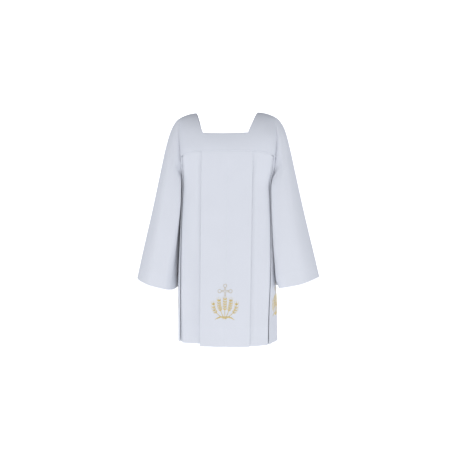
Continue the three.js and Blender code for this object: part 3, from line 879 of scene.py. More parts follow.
def press_in(tree: bpy.types.NodeTree, height: bpy.types.NodeSocket, strength: float, depth: float) -> None:
    """Turns a height into relief on the surface shader."""
    bump = add_node(tree, "ShaderNodeBump")
    set_inputs(bump, {"Strength": strength, "Distance": depth})
    tree.links.new(height, bump.inputs["Height"])
    tree.links.new(bump.outputs[0], shader_of(tree).inputs["Normal"])


def cloth_axes(tree: bpy.types.NodeTree) -> tuple[bpy.types.Node, bpy.types.Node]:
    """The flat place on the cloth, and the node that splits it into across and down."""
    cloth = add_node(tree, "ShaderNodeUVMap", uv_map="cloth")
    axes = add_node(tree, "ShaderNodeSeparateXYZ")
    tree.links.new(cloth.outputs[0], axes.inputs[0])
    return cloth, axes


def sum_up(tree: bpy.types.NodeTree, operation: str, first: object, second: object = None) -> bpy.types.NodeSocket:
    """Adds a Math node. Each input is a socket or a number."""
    node = add_node(tree, "ShaderNodeMath", operation=operation)
    for slot, value in enumerate((first, second)):
        if isinstance(value, bpy.types.NodeSocket):
            tree.links.new(value, node.inputs[slot])
        elif value is not None:
            node.inputs[slot].default_value = value
    return node.outputs[0]


def colour_between(tree: bpy.types.NodeTree, share: bpy.types.NodeSocket, low: Sequence, high: Sequence) -> object:
    """Adds a colour mix between two colours, each a triple or a socket."""
    node = add_node(tree, "ShaderNodeMix", data_type="RGBA")
    tree.links.new(share, node.inputs["Factor"])
    for name, value in (("A", low), ("B", high)):
        socket = next(s for s in node.inputs if s.name == name and s.type == "RGBA")
        if isinstance(value, bpy.types.NodeSocket):
            tree.links.new(value, socket)
        else:
            socket.default_value = (*value, 1.0)
    return next(s for s in node.outputs if s.type == "RGBA")


@dataclass(frozen=True)
class PlainWeave(Finish):
    """Matt white plain-weave cloth with fine uneven threads, a little brighter where it is doubled.

    Attributes:
        single: Colour of one layer.
        doubled: Colour of two layers.
        thread: Spacing of the threads in metres.
        roughness: Surface roughness.
        relief: Height of the weave in metres.
        gloss: Specular level.
        sheen: Share of the soft light that loose fibres give at a slant.
        cloud_shade: Share of the colour that is left in the broad faint clouds.
        thread_shade: Share of the colour that is left between uneven threads.
        slubs: Noise scales of the uneven threads, for either direction.
    """

    single: tuple[float, float, float] = (0.80, 0.815, 0.85)
    doubled: tuple[float, float, float] = (0.815, 0.83, 0.866)
    thread: float = 0.00045
    roughness: float = 0.82
    relief: float = 0.00008
    gloss: float = 0.3
    sheen: float = 0.12
    cloud_shade: float = 0.955
    thread_shade: float = 0.93
    slubs: tuple[tuple[float, float, float], ...] = ((1900.0, 55.0, 1.0), (50.0, 1700.0, 1.0))

    def dress(self, tree: bpy.types.NodeTree) -> None:
        """Height is sine across times sine along at the thread spacing, plus uneven threads both ways."""
        shader = shader_of(tree)
        set_inputs(shader, {"Roughness": self.roughness, "Specular IOR Level": self.gloss})
        set_inputs(shader, {"Sheen Weight": self.sheen, "Sheen Roughness": 0.5})
        cloth, axes = cloth_axes(tree)
        turn_rate = FULL_TURN / self.thread
        waves = [sum_up(tree, "SINE", sum_up(tree, "MULTIPLY", axes.outputs[k], turn_rate)) for k in (0, 1)]
        weave = sum_up(tree, "MULTIPLY", *waves)
        uneven = sum_up(tree, "ADD", *(self._slub(tree, cloth, scale) for scale in self.slubs))
        height = sum_up(tree, "ADD", sum_up(tree, "MULTIPLY", weave, 0.5), uneven)
        press_in(tree, height, 0.35, self.relief)
        doubling = add_node(tree, "ShaderNodeAttribute", attribute_name="doubled")
        plain = colour_between(tree, doubling.outputs["Fac"], self.single, self.doubled)
        shade = tuple(self.cloud_shade * c for c in self.single)
        tint = colour_between(tree, self._cloudy(tree), plain, shade)
        darker = tuple(self.thread_shade * c for c in self.single)
        threads = sum_up(tree, "MULTIPLY", sum_up(tree, "SUBTRACT", uneven, 1.0), 0.5)
        tree.links.new(colour_between(tree, threads, tint, darker), shader.inputs["Base Color"])

    @staticmethod
    def _slub(tree: bpy.types.NodeTree, cloth: bpy.types.Node, scale: Sequence[float]) -> bpy.types.NodeSocket:
        """Noise drawn out along one thread direction."""
        stretch = add_node(tree, "ShaderNodeMapping")
        stretch.inputs["Scale"].default_value = scale
        noise = add_node(tree, "ShaderNodeTexNoise")
        set_inputs(noise, {"Scale": 1.0, "Detail": 2.0})
        tree.links.new(cloth.outputs[0], stretch.inputs["Vector"])
        tree.links.new(stretch.outputs[0], noise.inputs["Vector"])
        return noise.outputs["Fac"]

    @staticmethod
    def _cloudy(tree: bpy.types.NodeTree) -> bpy.types.NodeSocket:
        """Broad faint unevenness of the white, over a hand's width."""
        place = add_node(tree, "ShaderNodeTexCoord")
        noise = add_node(tree, "ShaderNodeTexNoise")
        set_inputs(noise, {"Scale": 9.0, "Detail": 3.0})
        tree.links.new(place.outputs["Object"], noise.inputs["Vector"])
        return noise.outputs["Fac"]


@dataclass(frozen=True)
class Thread(Finish):
    """Twisted or laid thread: fine ridges that run across its length, with painted shade in the grooves between them.

    Attributes:
        light: Colour on the ridges.
        dark: Colour between the ridges, darker than on them as painted shade in the grooves.
        spacing: Distance between ridges in metres.
        slant: How far the ridges lean, as a share of the way across.
        roughness: Surface roughness.
        gloss: Specular level.
        relief: Height of the ridges in metres.
    """

    light: tuple[float, float, float]
    dark: tuple[float, float, float]
    spacing: float
    slant: float
    roughness: float
    gloss: float
    relief: float = 0.00012

    def dress(self, tree: bpy.types.NodeTree) -> None:
        """Ridges are a sine of the way along plus the slant times the way across; the colour darkens between them as
        painted shade.
        """
        shader = shader_of(tree)
        set_inputs(shader, {"Roughness": self.roughness, "Specular IOR Level": self.gloss, "Sheen Weight": 0.2})
        _, axes = cloth_axes(tree)
        along = sum_up(tree, "ADD", axes.outputs[0], sum_up(tree, "MULTIPLY", axes.outputs[1], self.slant))
        wave = sum_up(tree, "SINE", sum_up(tree, "MULTIPLY", along, FULL_TURN / self.spacing))
        ridge = sum_up(tree, "ADD", sum_up(tree, "MULTIPLY", wave, 0.5), 0.5)
        press_in(tree, ridge, 0.6, self.relief)
        # Painted shade: the colour darkens from the ridges into the grooves between them.
        tree.links.new(colour_between(tree, ridge, self.dark, self.light), shader.inputs["Base Color"])


WHITE_CLOTH = PlainWeave()
# The yoke's cloth is greyer than the skirt's: partly its doubled fabric, partly painted shade for the yoke's top, which
# slopes back and takes less light.
YOKE_CLOTH_WITH_PAINTED_SHADE = PlainWeave((0.745, 0.76, 0.795), (0.76, 0.776, 0.812))
# Each thread's second colour is painted shade for the grooves between its twisted ridges.
WHITE_THREAD = Thread((0.80, 0.82, 0.87), (0.68, 0.70, 0.76), 0.0005, 0.8, 0.6, 0.4)
GOLD_THREAD = Thread((0.80, 0.62, 0.20), (0.66, 0.48, 0.11), 0.0007, 0.25, 0.38, 0.6)
PALE_GOLD_THREAD = Thread((0.68, 0.58, 0.38), (0.56, 0.46, 0.27), 0.0007, 0.25, 0.42, 0.5)


@dataclass(frozen=True)
class PaleStage(Finish):
    """Plain pale paper that glows evenly, so that it stays near white behind and below the garment."""

    colour: tuple[float, float, float] = (0.9, 0.9, 0.9)
    glow: float = 1.0

    def dress(self, tree: bpy.types.NodeTree) -> None:
        """A matt surface with its own even light."""
        matt = {"Base Color": (*self.colour, 1.0), "Roughness": 1.0, "Specular IOR Level": 0.0}
        own_light = {"Emission Color": (1.0, 1.0, 1.0, 1.0), "Emission Strength": self.glow}
        set_inputs(shader_of(tree), matt | own_light)


@dataclass(frozen=True)
class StitchRun:
    """A line of machine stitches sunk into the cloth.

    Attributes:
        length: Length of one stitch.
        spacing: From the start of one stitch to the next.
        radius: Half thickness of the thread.
        sunk: How far its middle lies below the cloth's outer side.
    """

    length: float = 2.5
    spacing: float = 3.1
    radius: float = 0.24
    sunk: float = 0.06
    RING: int = 6
    STATIONS: tuple[float, ...] = (-0.5, -0.42, -0.2, 0.2, 0.42, 0.5)
    FULLNESS: tuple[float, ...] = (0.25, 0.75, 1.0, 1.0, 0.75, 0.25)

    def along(self, path: Array, normals: Array) -> tuple[Array, Array, Array]:
        """Lays stitches along a path.

        Each stitch is a short round thread that thins at both ends, drawn once in its own directions
        (along, out and sideways) and set at even steps of the path.

        Args:
            path: Points of the path on the cloth's outer side.
            normals: Outward directions there.

        Returns:
            Points, cells and flat corner places.
        """
        way = way_along(path, 0)
        places = np.arange(self.spacing, way[-1] - self.spacing / 2, self.spacing)

        def read(values: Array, at: Array) -> Array:
            """Reads points or directions at places along the path."""
            return np.stack([np.interp(at, way, values[:, k]) for k in range(3)], axis=-1)

        centre, out = read(path, places), unit(read(normals, places))
        run = unit(read(path, places + 0.4) - read(path, places - 0.4))
        side = unit(np.cross(out, run))
        turns = FULL_TURN * np.arange(self.RING) / self.RING
        station = np.array(self.STATIONS)[:, None] * self.length
        full = np.array(self.FULLNESS)[:, None] * self.radius
        shape_run = np.broadcast_to(station, (len(self.STATIONS), self.RING))
        shape_out = full * np.cos(turns) - self.sunk - 0.1 * (2 * station / self.length) ** 2
        shape_side = full * np.sin(turns)
        points = (
            centre[:, None, None, :]
            + shape_run[..., None] * run[:, None, None, :]
            + shape_out[..., None] * out[:, None, None, :]
            + shape_side[..., None] * side[:, None, None, :]
        )
        return self._cells(points)

    def _cells(self, points: Array) -> tuple[Array, Array, Array]:
        """Numbers the cells of all stitches, with each end closed by two four-sided cells."""
        stitches, stations, ring, _ = points.shape
        number, sides = tube_cells(stations, ring)
        first, last = number[0], number[-1]
        ends = np.array([first[[3, 2, 1, 0]], first[[0, 5, 4, 3]], last[[0, 1, 2, 3]], last[[3, 4, 5, 0]]])
        one = np.concatenate([sides, ends])
        cells = one[None] + (np.arange(stitches) * stations * ring)[:, None, None]
        across = np.broadcast_to(np.arange(ring) * self.radius, (stations, ring))
        along = np.broadcast_to(np.array(self.STATIONS)[:, None] * self.length, (stations, ring))
        flat = np.stack([along, across], axis=-1).reshape(-1, 2)[one]
        corners = np.broadcast_to(flat, (stitches, *flat.shape)).reshape(-1, 4, 2)
        return points.reshape(-1, 3), cells.reshape(-1, 4), corners

    def piece(self, name: str, runs: Sequence[tuple[Array, Array]]) -> bpy.types.Object:
        """Makes one piece of several runs, each a path with its outward directions."""
        points, cells, corners = [], [], []
        count = 0
        for path, normals in runs:
            new_points, new_cells, new_corners = self.along(path, normals)
            points.append(new_points)
            cells.append(new_cells + count)
            corners.append(new_corners)
            count += len(new_points)
        return make_piece(name, np.concatenate(points), np.concatenate(cells), np.concatenate(corners), WHITE_THREAD)


def row_shares(line_share: Array, top_rows: int, line_rows: int, hem_rows: int, near: Array) -> Array:
    """Spaces the rows of hanging cloth so that they close up at its stitched line.

    Args:
        line_share: Share of the length at which each column's stitched line lies.
        top_rows: Rows from the top to just above the line.
        line_rows: Rows across the line.
        hem_rows: Rows from just below the line to the hem.
        near: For each column, the share of the length that counts as near the line.

    Returns:
        Grid of shares, rows by columns.
    """
    top = np.concatenate([np.linspace(0.0, 0.012, 5)[:-1], np.linspace(0.012, 1.0, top_rows)])[:, None]
    above = top * (line_share - near)
    across = line_share + np.linspace(-1.0, 1.0, line_rows)[1:, None] * near
    below = mix(line_share + near, 1.0, np.linspace(0.0, 1.0, hem_rows)[1:, None])
    return np.concatenate([above, across, below])


def turned_up(above_line: Array) -> tuple[Array, Array]:
    """How far cloth is doubled below a stitched line, and the groove pressed in along it."""
    doubled = 1.0 - smooth((above_line - DOUBLING_ENDS_ABOVE) / DOUBLING_FADE)
    return doubled, HEM_GROOVE * bell(above_line, HEM_GROOVE_WIDTH)


@dataclass
class Panel:
    """What each finished sub-assembly hands on: its cloth and what is sewn on it."""

    node: str
    cloth: bpy.types.Object
    sheet: Sheet
    extras: list[bpy.types.Object]


class HangingCloth:
    """Cloth that hangs in pleats from the yoke: a course of columns between a top line and the hem."""

    TOP_ROWS, LINE_ROWS, HEM_ROWS = 92, 7, 14
    TUCK, TUCK_LENGTH = 0.9, 7.0
    SEAM_ALLOWANCE, ALLOWED_WITHIN = 6.0, 130.0
    STITCH_STEP = 0.35

    def __init__(self, form: BodyForm, course: Course, top_z: Array, facing: Array, turned: bool) -> None:
        """Keeps the course.

        Args:
            form: The form on which it hangs.
            course: Its columns.
            top_z: Height of each column's top.
            facing: For each column, the sign of the middle from which it is counted.
            turned: Whether its cells run the other way round.
        """
        self.form, self.course, self.top_z = form, course, top_z
        self.facing, self.turned = facing, turned

    def place(self, columns: Array, share: Array) -> Array:
        """Places the cloth's middle at columns and shares of the length, both broadcast together.

        The way round, the inset and the height each go straight from top to hem, the middle of a face is
        pressed in by a crease, and the top is tucked in under the yoke's edge. The topmost row stands up
        behind the yoke by the seam allowance, so that no light shows through the pleats at the seam.
        """
        columns, share = np.broadcast_arrays(np.asarray(columns, float), np.asarray(share, float))
        line = self.course.at(columns)
        numbers = np.arange(len(self.top_z))
        top_z = np.interp(columns, numbers, self.top_z)
        facing = self.facing[np.clip(np.rint(columns).astype(int), 0, len(numbers) - 1)]
        result = np.empty((*columns.shape, 3))
        for side in Facing:
            here = facing == side.value
            if not here.any():
                continue
            part = line.each(lambda values, here=here: values[here])
            result[here] = self._hang(part, share[here], top_z[here], side)
        return result

    @staticmethod
    def middle_crease(from_crease: Array, share: Array) -> Array:
        """Depth of the crease pressed down a face's middle: a broad bell and a narrow one, from the seam on."""
        broad = CREASE_DEPTH * bell(from_crease, CREASE_HALF_WIDTH)
        return (broad + CREASE_LINE_DEPTH * bell(from_crease, CREASE_LINE_HALF_WIDTH)) * smooth(share * 8)

    def _hang(self, line: Course, share: Array, top_z: Array, side: Facing) -> Array:
        """Places columns that are all counted from the same middle."""
        hem_z = -GARMENT_LENGTH + line.drawn_up * hem_raise(line.hem_arc, side)
        top_arc = line.top_arc + top_sway(line.top_arc, side)
        arc = mix(top_arc, line.hem_arc + hem_sway(line.hem_arc, side), share)
        pressed = self.middle_crease(mix(line.top_arc, line.hem_arc, share), share)
        allowance = (share <= 0) & (np.abs(line.top_arc) < self.ALLOWED_WITHIN)
        z = mix(top_z, hem_z, share) + self.SEAM_ALLOWANCE * allowance
        tucked = self.TUCK * (1.0 - smooth((top_z - z) / self.TUCK_LENGTH))
        inset = mix(line.top_inset, line.hem_inset, share) + pressed + tucked
        return self.form.point(z, arc, inset, side)

    def grid(self) -> tuple[Array, Array, Array, Array]:
        """Gives the grid's points, flat places, doubling and groove."""
        columns = np.arange(len(self.top_z), dtype=float)[None, :]
        length = GARMENT_LENGTH + self.top_z
        share = row_shares(1 - HEM_DEPTH / length, self.TOP_ROWS, self.LINE_ROWS, self.HEM_ROWS, LINE_REACH / length)
        points = self.place(columns, share)
        flat = flat_places(points, share * length)
        above_line = (1 - share) * length - HEM_DEPTH
        return points, flat, *turned_up(above_line)

    def stitched_line(self) -> tuple[Array, Array]:
        """The hem's stitched line: a path on the outer side with its outward directions."""
        columns = np.arange(0.0, len(self.top_z) - 1.0, self.STITCH_STEP)
        top_z = np.interp(columns, np.arange(len(self.top_z)), self.top_z)
        share = 1 - HEM_DEPTH / (GARMENT_LENGTH + top_z)
        points = self.place(columns, share)
        normal = surface_normals(self.place, columns, share, 0.3, 0.002) * (1 if self.turned else -1)
        return points + normal * (SINGLE_CLOTH / 2 - HEM_GROOVE), normal

    def build(self, name: str) -> Panel:
        """Makes a node's cloth and its hem stitches."""
        sheet = Sheet.from_grid(*self.grid(), turned=self.turned)
        cloth = sheet.as_wall(f"{name}_cloth", WHITE_CLOTH)
        stitches = StitchRun().piece(f"{name}_hem_stitches", [self.stitched_line()])
        return Panel(name, cloth, sheet, [stitches])


def half_box_pleat() -> list[Course]:
    """One half of a box pleat, from the middle of its face round both folds to the innermost layer."""
    at_hem = FACE_HALF_HEM / FACE_HALF_TOP
    half_top, half_hem = PITCH_TOP / 2, PITCH_HEM / 2
    inner_top, inner_hem = INNER_FOLD_FROM_CENTRE, INNER_FOLD_FROM_CENTRE * at_hem
    face_top, face_hem = FACE_HALF_TOP - half_top, FACE_HALF_HEM - half_hem
    return [
        straight((0.0, face_top), (0.0, face_hem), 0, 0.0, 25),
        turn(FACE_HALF_TOP, FACE_HALF_HEM, 0, 1, (0.0, 0.0)),
        straight((face_top, inner_top + half_top), (face_hem, inner_hem + half_hem), 1, 0.0, 13),
        turn(inner_top, inner_hem, 1, -1, (0.0, 1.0), 7),
        straight((inner_top + half_top, FACE_HALF_TOP), (inner_hem + half_hem, FACE_HALF_HEM), 2, 1.0, 13),
    ]


def side_stretch() -> list[Course]:
    """The plain panel beside the box pleat, which comes level with the pleat's face at the yoke seam."""
    panel = straight((FACE_HALF_TOP, SIDE_FOLD_ARC), (FACE_HALF_HEM, SIDE_FOLD_ARC), 2, 1.0, 25)
    rise = smooth((panel.top_arc - FACE_HALF_TOP) / 20.0) * smooth((SIDE_FOLD_ARC - panel.top_arc) / 18.0)
    panel.top_inset = panel.top_inset * (1 - rise)
    ends = (SIDE_FOLD_ARC + SIDE_UNDERLAP_TOP, SIDE_FOLD_ARC + SIDE_UNDERLAP_HEM)
    return [panel, straight((SIDE_FOLD_ARC, ends[0]), (SIDE_FOLD_ARC, ends[1]), 2, 1.0, 9)]


class Skirt:
    """The front or back skirt: a box pleat in the middle with a plain panel on each side."""

    def __init__(self, form: BodyForm, facing: Facing) -> None:
        """Keeps the form and the facing."""
        self.form, self.facing = form, facing

    def build(self) -> Panel:
        """Makes the skirt's cloth and stitches."""
        half = Course.joined([*half_box_pleat(), *side_stretch()])
        course = Course.joined([half.mirrored(), half])
        top_z = yoke_seam_z(course.top_arc + top_sway(course.top_arc, self.facing)) - SEAM_GAP
        facing = np.full(len(top_z), self.facing.value)
        name = f"{self.facing.name.lower()}_skirt"
        hanging = HangingCloth(self.form, course, top_z, facing, self.facing is Facing.BACK)
        return hanging.build(name)


class Armhole:
    """The armhole's loop: a straight rise to the shoulder point, and a quarter curve under the arm."""

    def __init__(self, form: BodyForm) -> None:
        """Works out the loop's front corner once."""
        self.form = form
        arc, x, _, _ = self.low(np.zeros(1))
        self.corner_arc, self.corner_x = float(arc[0]), float(x[0])

    def low(self, share: Array) -> tuple[Array, Array, Array, Array]:
        """The lower half, from the front corner at 0 to the underarm at 1: way round, x, y and z."""
        y = -ARMHOLE_HALF_DEPTH * np.cos(share * QUARTER_TURN)
        z = mix(ARMHOLE_CORNER_Z, UNDERARM_Z, np.sin(share * QUARTER_TURN))
        arc = self.form.arc_at_y(z, y)
        x, _ = self.form.section_point(z, arc)
        return arc, x, y, z

    def loop(self, angle: Array) -> Array:
        """Points of the whole loop, by the angle from its top through its front corner."""
        up, forward = np.cos(angle), np.sin(angle)
        _, low_x, low_y, low_z = self.low(np.arcsin(np.clip(-up, 0.0, 1.0)) / QUARTER_TURN)
        low_y = -np.abs(low_y) * np.where(forward < 0, -1.0, 1.0)
        rising = up >= 0
        x = np.where(rising, mix(self.corner_x, SHOULDER_POINT_HALF, up), low_x)
        y = np.where(rising, -ARMHOLE_HALF_DEPTH * forward, low_y)
        z = np.where(rising, mix(ARMHOLE_CORNER_Z, -SHOULDER_SLOPE_FALL, up), low_z)
        return np.stack([x, y, z], axis=-1)


class SidePanel:
    """The pleated panel under one arm, from the seam under the front fold round to the back one."""

    FIRST_ARM_COLUMN_AT_HEM = 0.26
    ARM_COLUMNS = 22

    def __init__(self, form: BodyForm, armhole: Armhole, hand: Hand) -> None:
        """Keeps the form, the armhole and the side."""
        self.form, self.armhole, self.hand = form, armhole, hand

    def _quarter(self) -> tuple[Course, Array]:
        """Columns from the front seam to the underarm, with the height of each one's top."""
        top, hem = SIDE_FOLD_ARC, SIDE_FOLD_ARC
        end_top, end_hem = top + SIDE_UNDERLAP_TOP, hem + SIDE_UNDERLAP_HEM
        half_top, half_hem = PITCH_TOP / 2, PITCH_HEM / 2
        behind = straight((end_top, top + half_top), (end_hem, hem + half_hem), 1, 1.0, 9)
        drop = smooth((behind.hem_arc - hem - SIDE_UNDERLAP_HEM / 2) / (SIDE_UNDERLAP_HEM / 2))
        behind.top_inset = behind.top_inset + drop * (PITCH_TOP - 1.5)
        behind.hem_inset = behind.hem_inset + drop * (PITCH_HEM - 1.5)
        fold = turn(top, hem, 0, -1, (1.0, 1.0)).turned_back()
        face = straight((top + half_top, end_top), (hem + half_hem, end_hem), 0, 1.0, 13)
        folded = Course.joined([behind, fold, face])
        share = np.linspace(0.0, 1.0, self.ARM_COLUMNS)
        arc, _, _, z = self.armhole.low(share)
        middle_hem = float(self.form.half_girth[-1]) / 2
        spread = mix(self.FIRST_ARM_COLUMN_AT_HEM, 1.0, share)
        nothing = np.zeros_like(share)
        arm = Course(arc, mix(end_hem, middle_hem, spread), nothing, nothing, nothing + 1.0)
        bridge = Course(*(np.linspace(getattr(folded, n)[-1], getattr(arm, n)[0], 5) for n in arm.__dataclass_fields__))
        folded_z = yoke_seam_z(folded.top_arc)
        top_z = np.concatenate([folded_z, np.linspace(folded_z[-1], z[0], 5)[1:], z[1:]])
        return Course.joined([folded, bridge, arm]), top_z - SEAM_GAP

    def build(self) -> Panel:
        """Makes the panel's cloth and stitches."""
        quarter, top_z = self._quarter()
        front = quarter if self.hand is Hand.LEFT else quarter.mirrored().turned_back()
        course = Course.joined([front, front.turned_back()])
        facing = np.concatenate([np.full(len(top_z), 1), np.full(len(top_z) - 1, -1)])
        name = f"side_panel_{self.hand.name.lower()}"
        heights = np.concatenate([top_z, top_z[::-1][1:]])
        hanging = HangingCloth(self.form, course, heights, facing, self.hand is Hand.RIGHT)
        return hanging.build(name)


class Yoke:
    """The front or back of the yoke: a band over the chest and a strap over each shoulder, of doubled cloth.

    Each column is a quarter arch from the seam to the shoulder ridge: sideways and up it goes by the sine,
    and back it goes by the cosine.
    """

    BAND_ROWS, STRAP_ROWS = 22, 40
    BAND_COLUMNS, STRAP_COLUMNS = 31, 46
    STITCH_FROM_EDGE = 2.6
    NECK_STITCH_FROM_EDGE = 5.5
    LIP, LIP_LENGTH = 0.45, 4.0
    GROOVE, GROOVE_WIDTH, NECK_GROOVE = 0.22, 1.2, 0.02
    STILL_AT_SEAM, STILL_AT_ARMHOLE, STILL_AT_RIDGE = 30.0, 25.0, 6.0
    CLOSER_TO_NECK, FLAT_RATE = 1.5, 1.32
    SEAM_SAMPLES, NECK_SAMPLES, SEAM_ENDS = 500, 240, 4.0

    def __init__(self, form: BodyForm, armhole: Armhole, facing: Facing) -> None:
        """Works out the neck's corner and the shares of its edges."""
        self.form, self.armhole, self.facing = form, armhole, facing
        in_front = facing is Facing.FRONT
        neck_depth = FRONT_NECK_DEPTH if in_front else BACK_NECK_DEPTH
        self.strap_foot = NECK_HALF_AT_RIDGE - (FRONT_NECK_CLOSING if in_front else BACK_NECK_CLOSING) * YOKE_DEPTH
        self.band_share = math.asin(1 - neck_depth / YOKE_DEPTH) / QUARTER_TURN
        self.ridge_share = 1 - SEAM_GAP / ARMHOLE_HALF_DEPTH / QUARTER_TURN
        self.ripples = Ripples(21 if in_front else 22, 48.0, 0.21, 0.7)

    def seam_z(self, arc: Array) -> Array:
        """Height of a column's foot: the yoke seam, then down to the armhole's corner at the very end."""
        last = SIDE_FOLD_ARC + SIDE_UNDERLAP_TOP
        at_last = float(yoke_seam_z(np.array(last)))
        to_corner = np.clip((np.abs(arc) - last) / (self.armhole.corner_arc - last), 0.0, 1.0)
        return np.where(np.abs(arc) > last, mix(at_last, ARMHOLE_CORNER_Z, to_corner), yoke_seam_z(arc))

    def place(self, arc: Array, share: Array) -> Array:
        """Places the yoke's middle by the way round at its foot and the share of the quarter arch."""
        arc, share = np.broadcast_arrays(np.asarray(arc, float), np.asarray(share, float))
        span = np.abs(arc)
        seam_z = self.seam_z(arc)
        foot_x, foot_y = self.form.section_point(seam_z, span)
        along = np.clip((foot_x - self.strap_foot) / (self.armhole.corner_x - self.strap_foot), 0.0, 1.0)
        ridge_x = mix(NECK_HALF_AT_RIDGE, SHOULDER_POINT_HALF, along)
        ridge_z = -SHOULDER_SLOPE_FALL * mix(along, along**2, RIDGE_ROUNDING)
        up, over = np.sin(share * QUARTER_TURN), np.cos(share * QUARTER_TURN)
        on_strap = span >= self.strap_foot - 1e-9
        narrow = np.minimum(foot_x / self.strap_foot, 1.0)
        band_x = narrow * mix(self.strap_foot, NECK_HALF_AT_RIDGE, up)
        x = np.where(on_strap, mix(foot_x, ridge_x, up), band_x)
        sag = np.where(on_strap, 0.0, NECK_EDGE_SAG * (1 - narrow**2) * share / self.band_share)
        z = mix(seam_z, np.where(on_strap, ridge_z, 0.0), up) - sag
        return self.form.worn(np.stack([np.sign(arc) * x, self.facing.value * foot_y * over, z], axis=-1))

    def _normal(self, arc: Array, share: Array) -> Array:
        """Outward directions of the plain yoke."""
        return surface_normals(self.place, arc, np.clip(share, 0.004, 0.99), 0.3, 0.003) * self.facing.value

    def relief(self, arc: Array, share: Array) -> Array:
        """Height over the plain form: a lip at the seam and soft ripples that fade at the free edges."""
        above_seam = share * YOKE_DEPTH * QUARTER_TURN
        lip = self.LIP * (1 - smooth(above_seam / self.LIP_LENGTH))
        held = smooth(above_seam / self.STILL_AT_SEAM) * smooth((self.ridge_share - share) * self.STILL_AT_RIDGE)
        at_armhole = smooth((self.armhole.corner_arc - np.abs(arc)) / self.STILL_AT_ARMHOLE)
        return lip + self.ripples.at(arc, share) * held * at_armhole

    def outer(self, arc: Array, share: Array, sunk: float) -> tuple[Array, Array]:
        """A path on the outer side, sunk by a groove, with its outward directions."""
        normal = self._normal(arc, share)
        height = self.relief(arc, share)[..., None] + SINGLE_CLOTH / 2 - sunk
        return self.place(arc, share) + normal * height, normal

    def build(self) -> Panel:
        """Makes the yoke's cloth, its seam stitches and its neck stitches."""
        closer = 1 - (1 - np.linspace(0.0, 1.0, self.STRAP_COLUMNS)) ** self.CLOSER_TO_NECK
        strap = mix(self.strap_foot, self.armhole.corner_arc, closer)
        band = np.linspace(-self.strap_foot, self.strap_foot, self.BAND_COLUMNS)
        arcs = np.concatenate([-strap[::-1][:-1], band, strap[1:]])
        seam_rows = np.array([0.0, 0.004, 0.008, 0.0115, 0.016, 0.022])
        band_rows = np.linspace(0.03, self.band_share, self.BAND_ROWS)
        strap_rows = np.linspace(self.band_share, self.ridge_share, self.STRAP_ROWS)[1:]
        shares = np.concatenate([seam_rows, band_rows, strap_rows])
        arc, share = np.meshgrid(arcs, shares)
        points = self.place(arc, share) + self._normal(arc, share) * self.relief(arc, share)[..., None]
        from_top = (1 - share) * YOKE_DEPTH * self.FLAT_RATE
        flat = np.stack([arc, -from_top], axis=-1)
        above_seam = share * YOKE_DEPTH * QUARTER_TURN
        groove = self.GROOVE * bell(above_seam - self.STITCH_FROM_EDGE, self.GROOVE_WIDTH)
        column = np.arange(len(arcs) - 1)
        first = self.STRAP_COLUMNS - 1
        over_neck = (column >= first) & (column < len(arcs) - 1 - first)
        below_neck = np.arange(len(shares) - 1) < len(seam_rows) + self.BAND_ROWS - 1
        keeps = below_neck[:, None] | ~over_neck[None, :]
        turned = self.facing is Facing.FRONT
        sheet = Sheet.from_grid(points, flat, np.ones_like(arc), groove, turned=turned, keeps=keeps)
        name = f"{self.facing.name.lower()}_yoke"
        # The yoke's greyer colour is partly painted shade.
        cloth = sheet.as_wall(f"{name}_cloth", YOKE_CLOTH_WITH_PAINTED_SHADE)
        stitches = StitchRun().piece(f"{name}_stitches", self._stitched_lines())
        return Panel(name, cloth, sheet, [stitches])

    def _stitched_lines(self) -> list[tuple[Array, Array]]:
        """The lines of stitches above the seam and round the neck edge."""
        rate = YOKE_DEPTH * QUARTER_TURN
        ends = self.armhole.corner_arc - self.SEAM_ENDS
        seam_arc = np.linspace(-ends, ends, self.SEAM_SAMPLES)
        lines = [self.outer(seam_arc, np.full_like(seam_arc, self.STITCH_FROM_EDGE / rate), self.GROOVE)]
        slope = rate * math.cos(self.band_share * QUARTER_TURN)
        edge = self.band_share - self.NECK_STITCH_FROM_EDGE / slope
        reach = self.strap_foot + self.NECK_STITCH_FROM_EDGE
        neck_arc = np.linspace(-reach, reach, self.NECK_SAMPLES)
        lines.append(self.outer(neck_arc, np.full_like(neck_arc, edge), self.NECK_GROOVE))
        rising = np.linspace(edge, self.ridge_share - 0.01, self.NECK_SAMPLES)
        for sign in (-1, 1):
            lines.append(self.outer(np.full_like(rising, sign * reach), rising, self.NECK_GROOVE))
        return lines


SLEEVE_SECTIONS = np.array(
    [  # outer x, outer z, inner x, inner z, half depth, place of the widest line
        (192.0, -20.0, 177.0, -290.0, 58.0, 0.612),
        (204.0, -29.0, 182.0, -292.0, 63.0, 0.6),
        (219.0, -52.0, 184.0, -300.0, 68.0, 0.59),
        (231.0, -82.0, 184.0, -315.0, 74.0, 0.57),
        (247.0, -137.0, 184.5, -348.0, 83.0, 0.55),
        (268.0, -232.0, 187.0, -410.0, 93.0, 0.53),
        (302.0, -390.0, 193.0, -520.0, 103.0, 0.52),
        (338.0, -545.0, 198.5, -622.0, 109.0, 0.5),
        (363.0, -657.0, 201.0, -692.0, 112.0, 0.5),
    ]
)


@dataclass(frozen=True)
class SleeveFold:
    """One soft fold along a sleeve, placed by the angle from the top crease through the front.

    Attributes:
        hand: The sleeve it is on.
        top: Angle at the armhole in degrees.
        cuff: Angle at the cuff in degrees.
        width: Half width in degrees.
        depth: How far the cloth goes in, or out if negative.
        begins: Share of the length where it begins.
        full: Share of the length where it is full.
        ends: Share of the length by which it has faded, past 1 if it runs through the cuff.
    """

    hand: Hand
    top: float
    cuff: float
    width: float
    depth: float
    begins: float
    full: float
    ends: float = 2.0

    def depth_at(self, share: Array, degrees: Array) -> Array:
        """A bell across times a smooth rise and a smooth fade along."""
        strength = rise_and_fall(share, (self.begins, self.full, self.full, self.ends))
        return self.depth * strength * bell(degrees - mix(self.top, self.cuff, share), self.width)


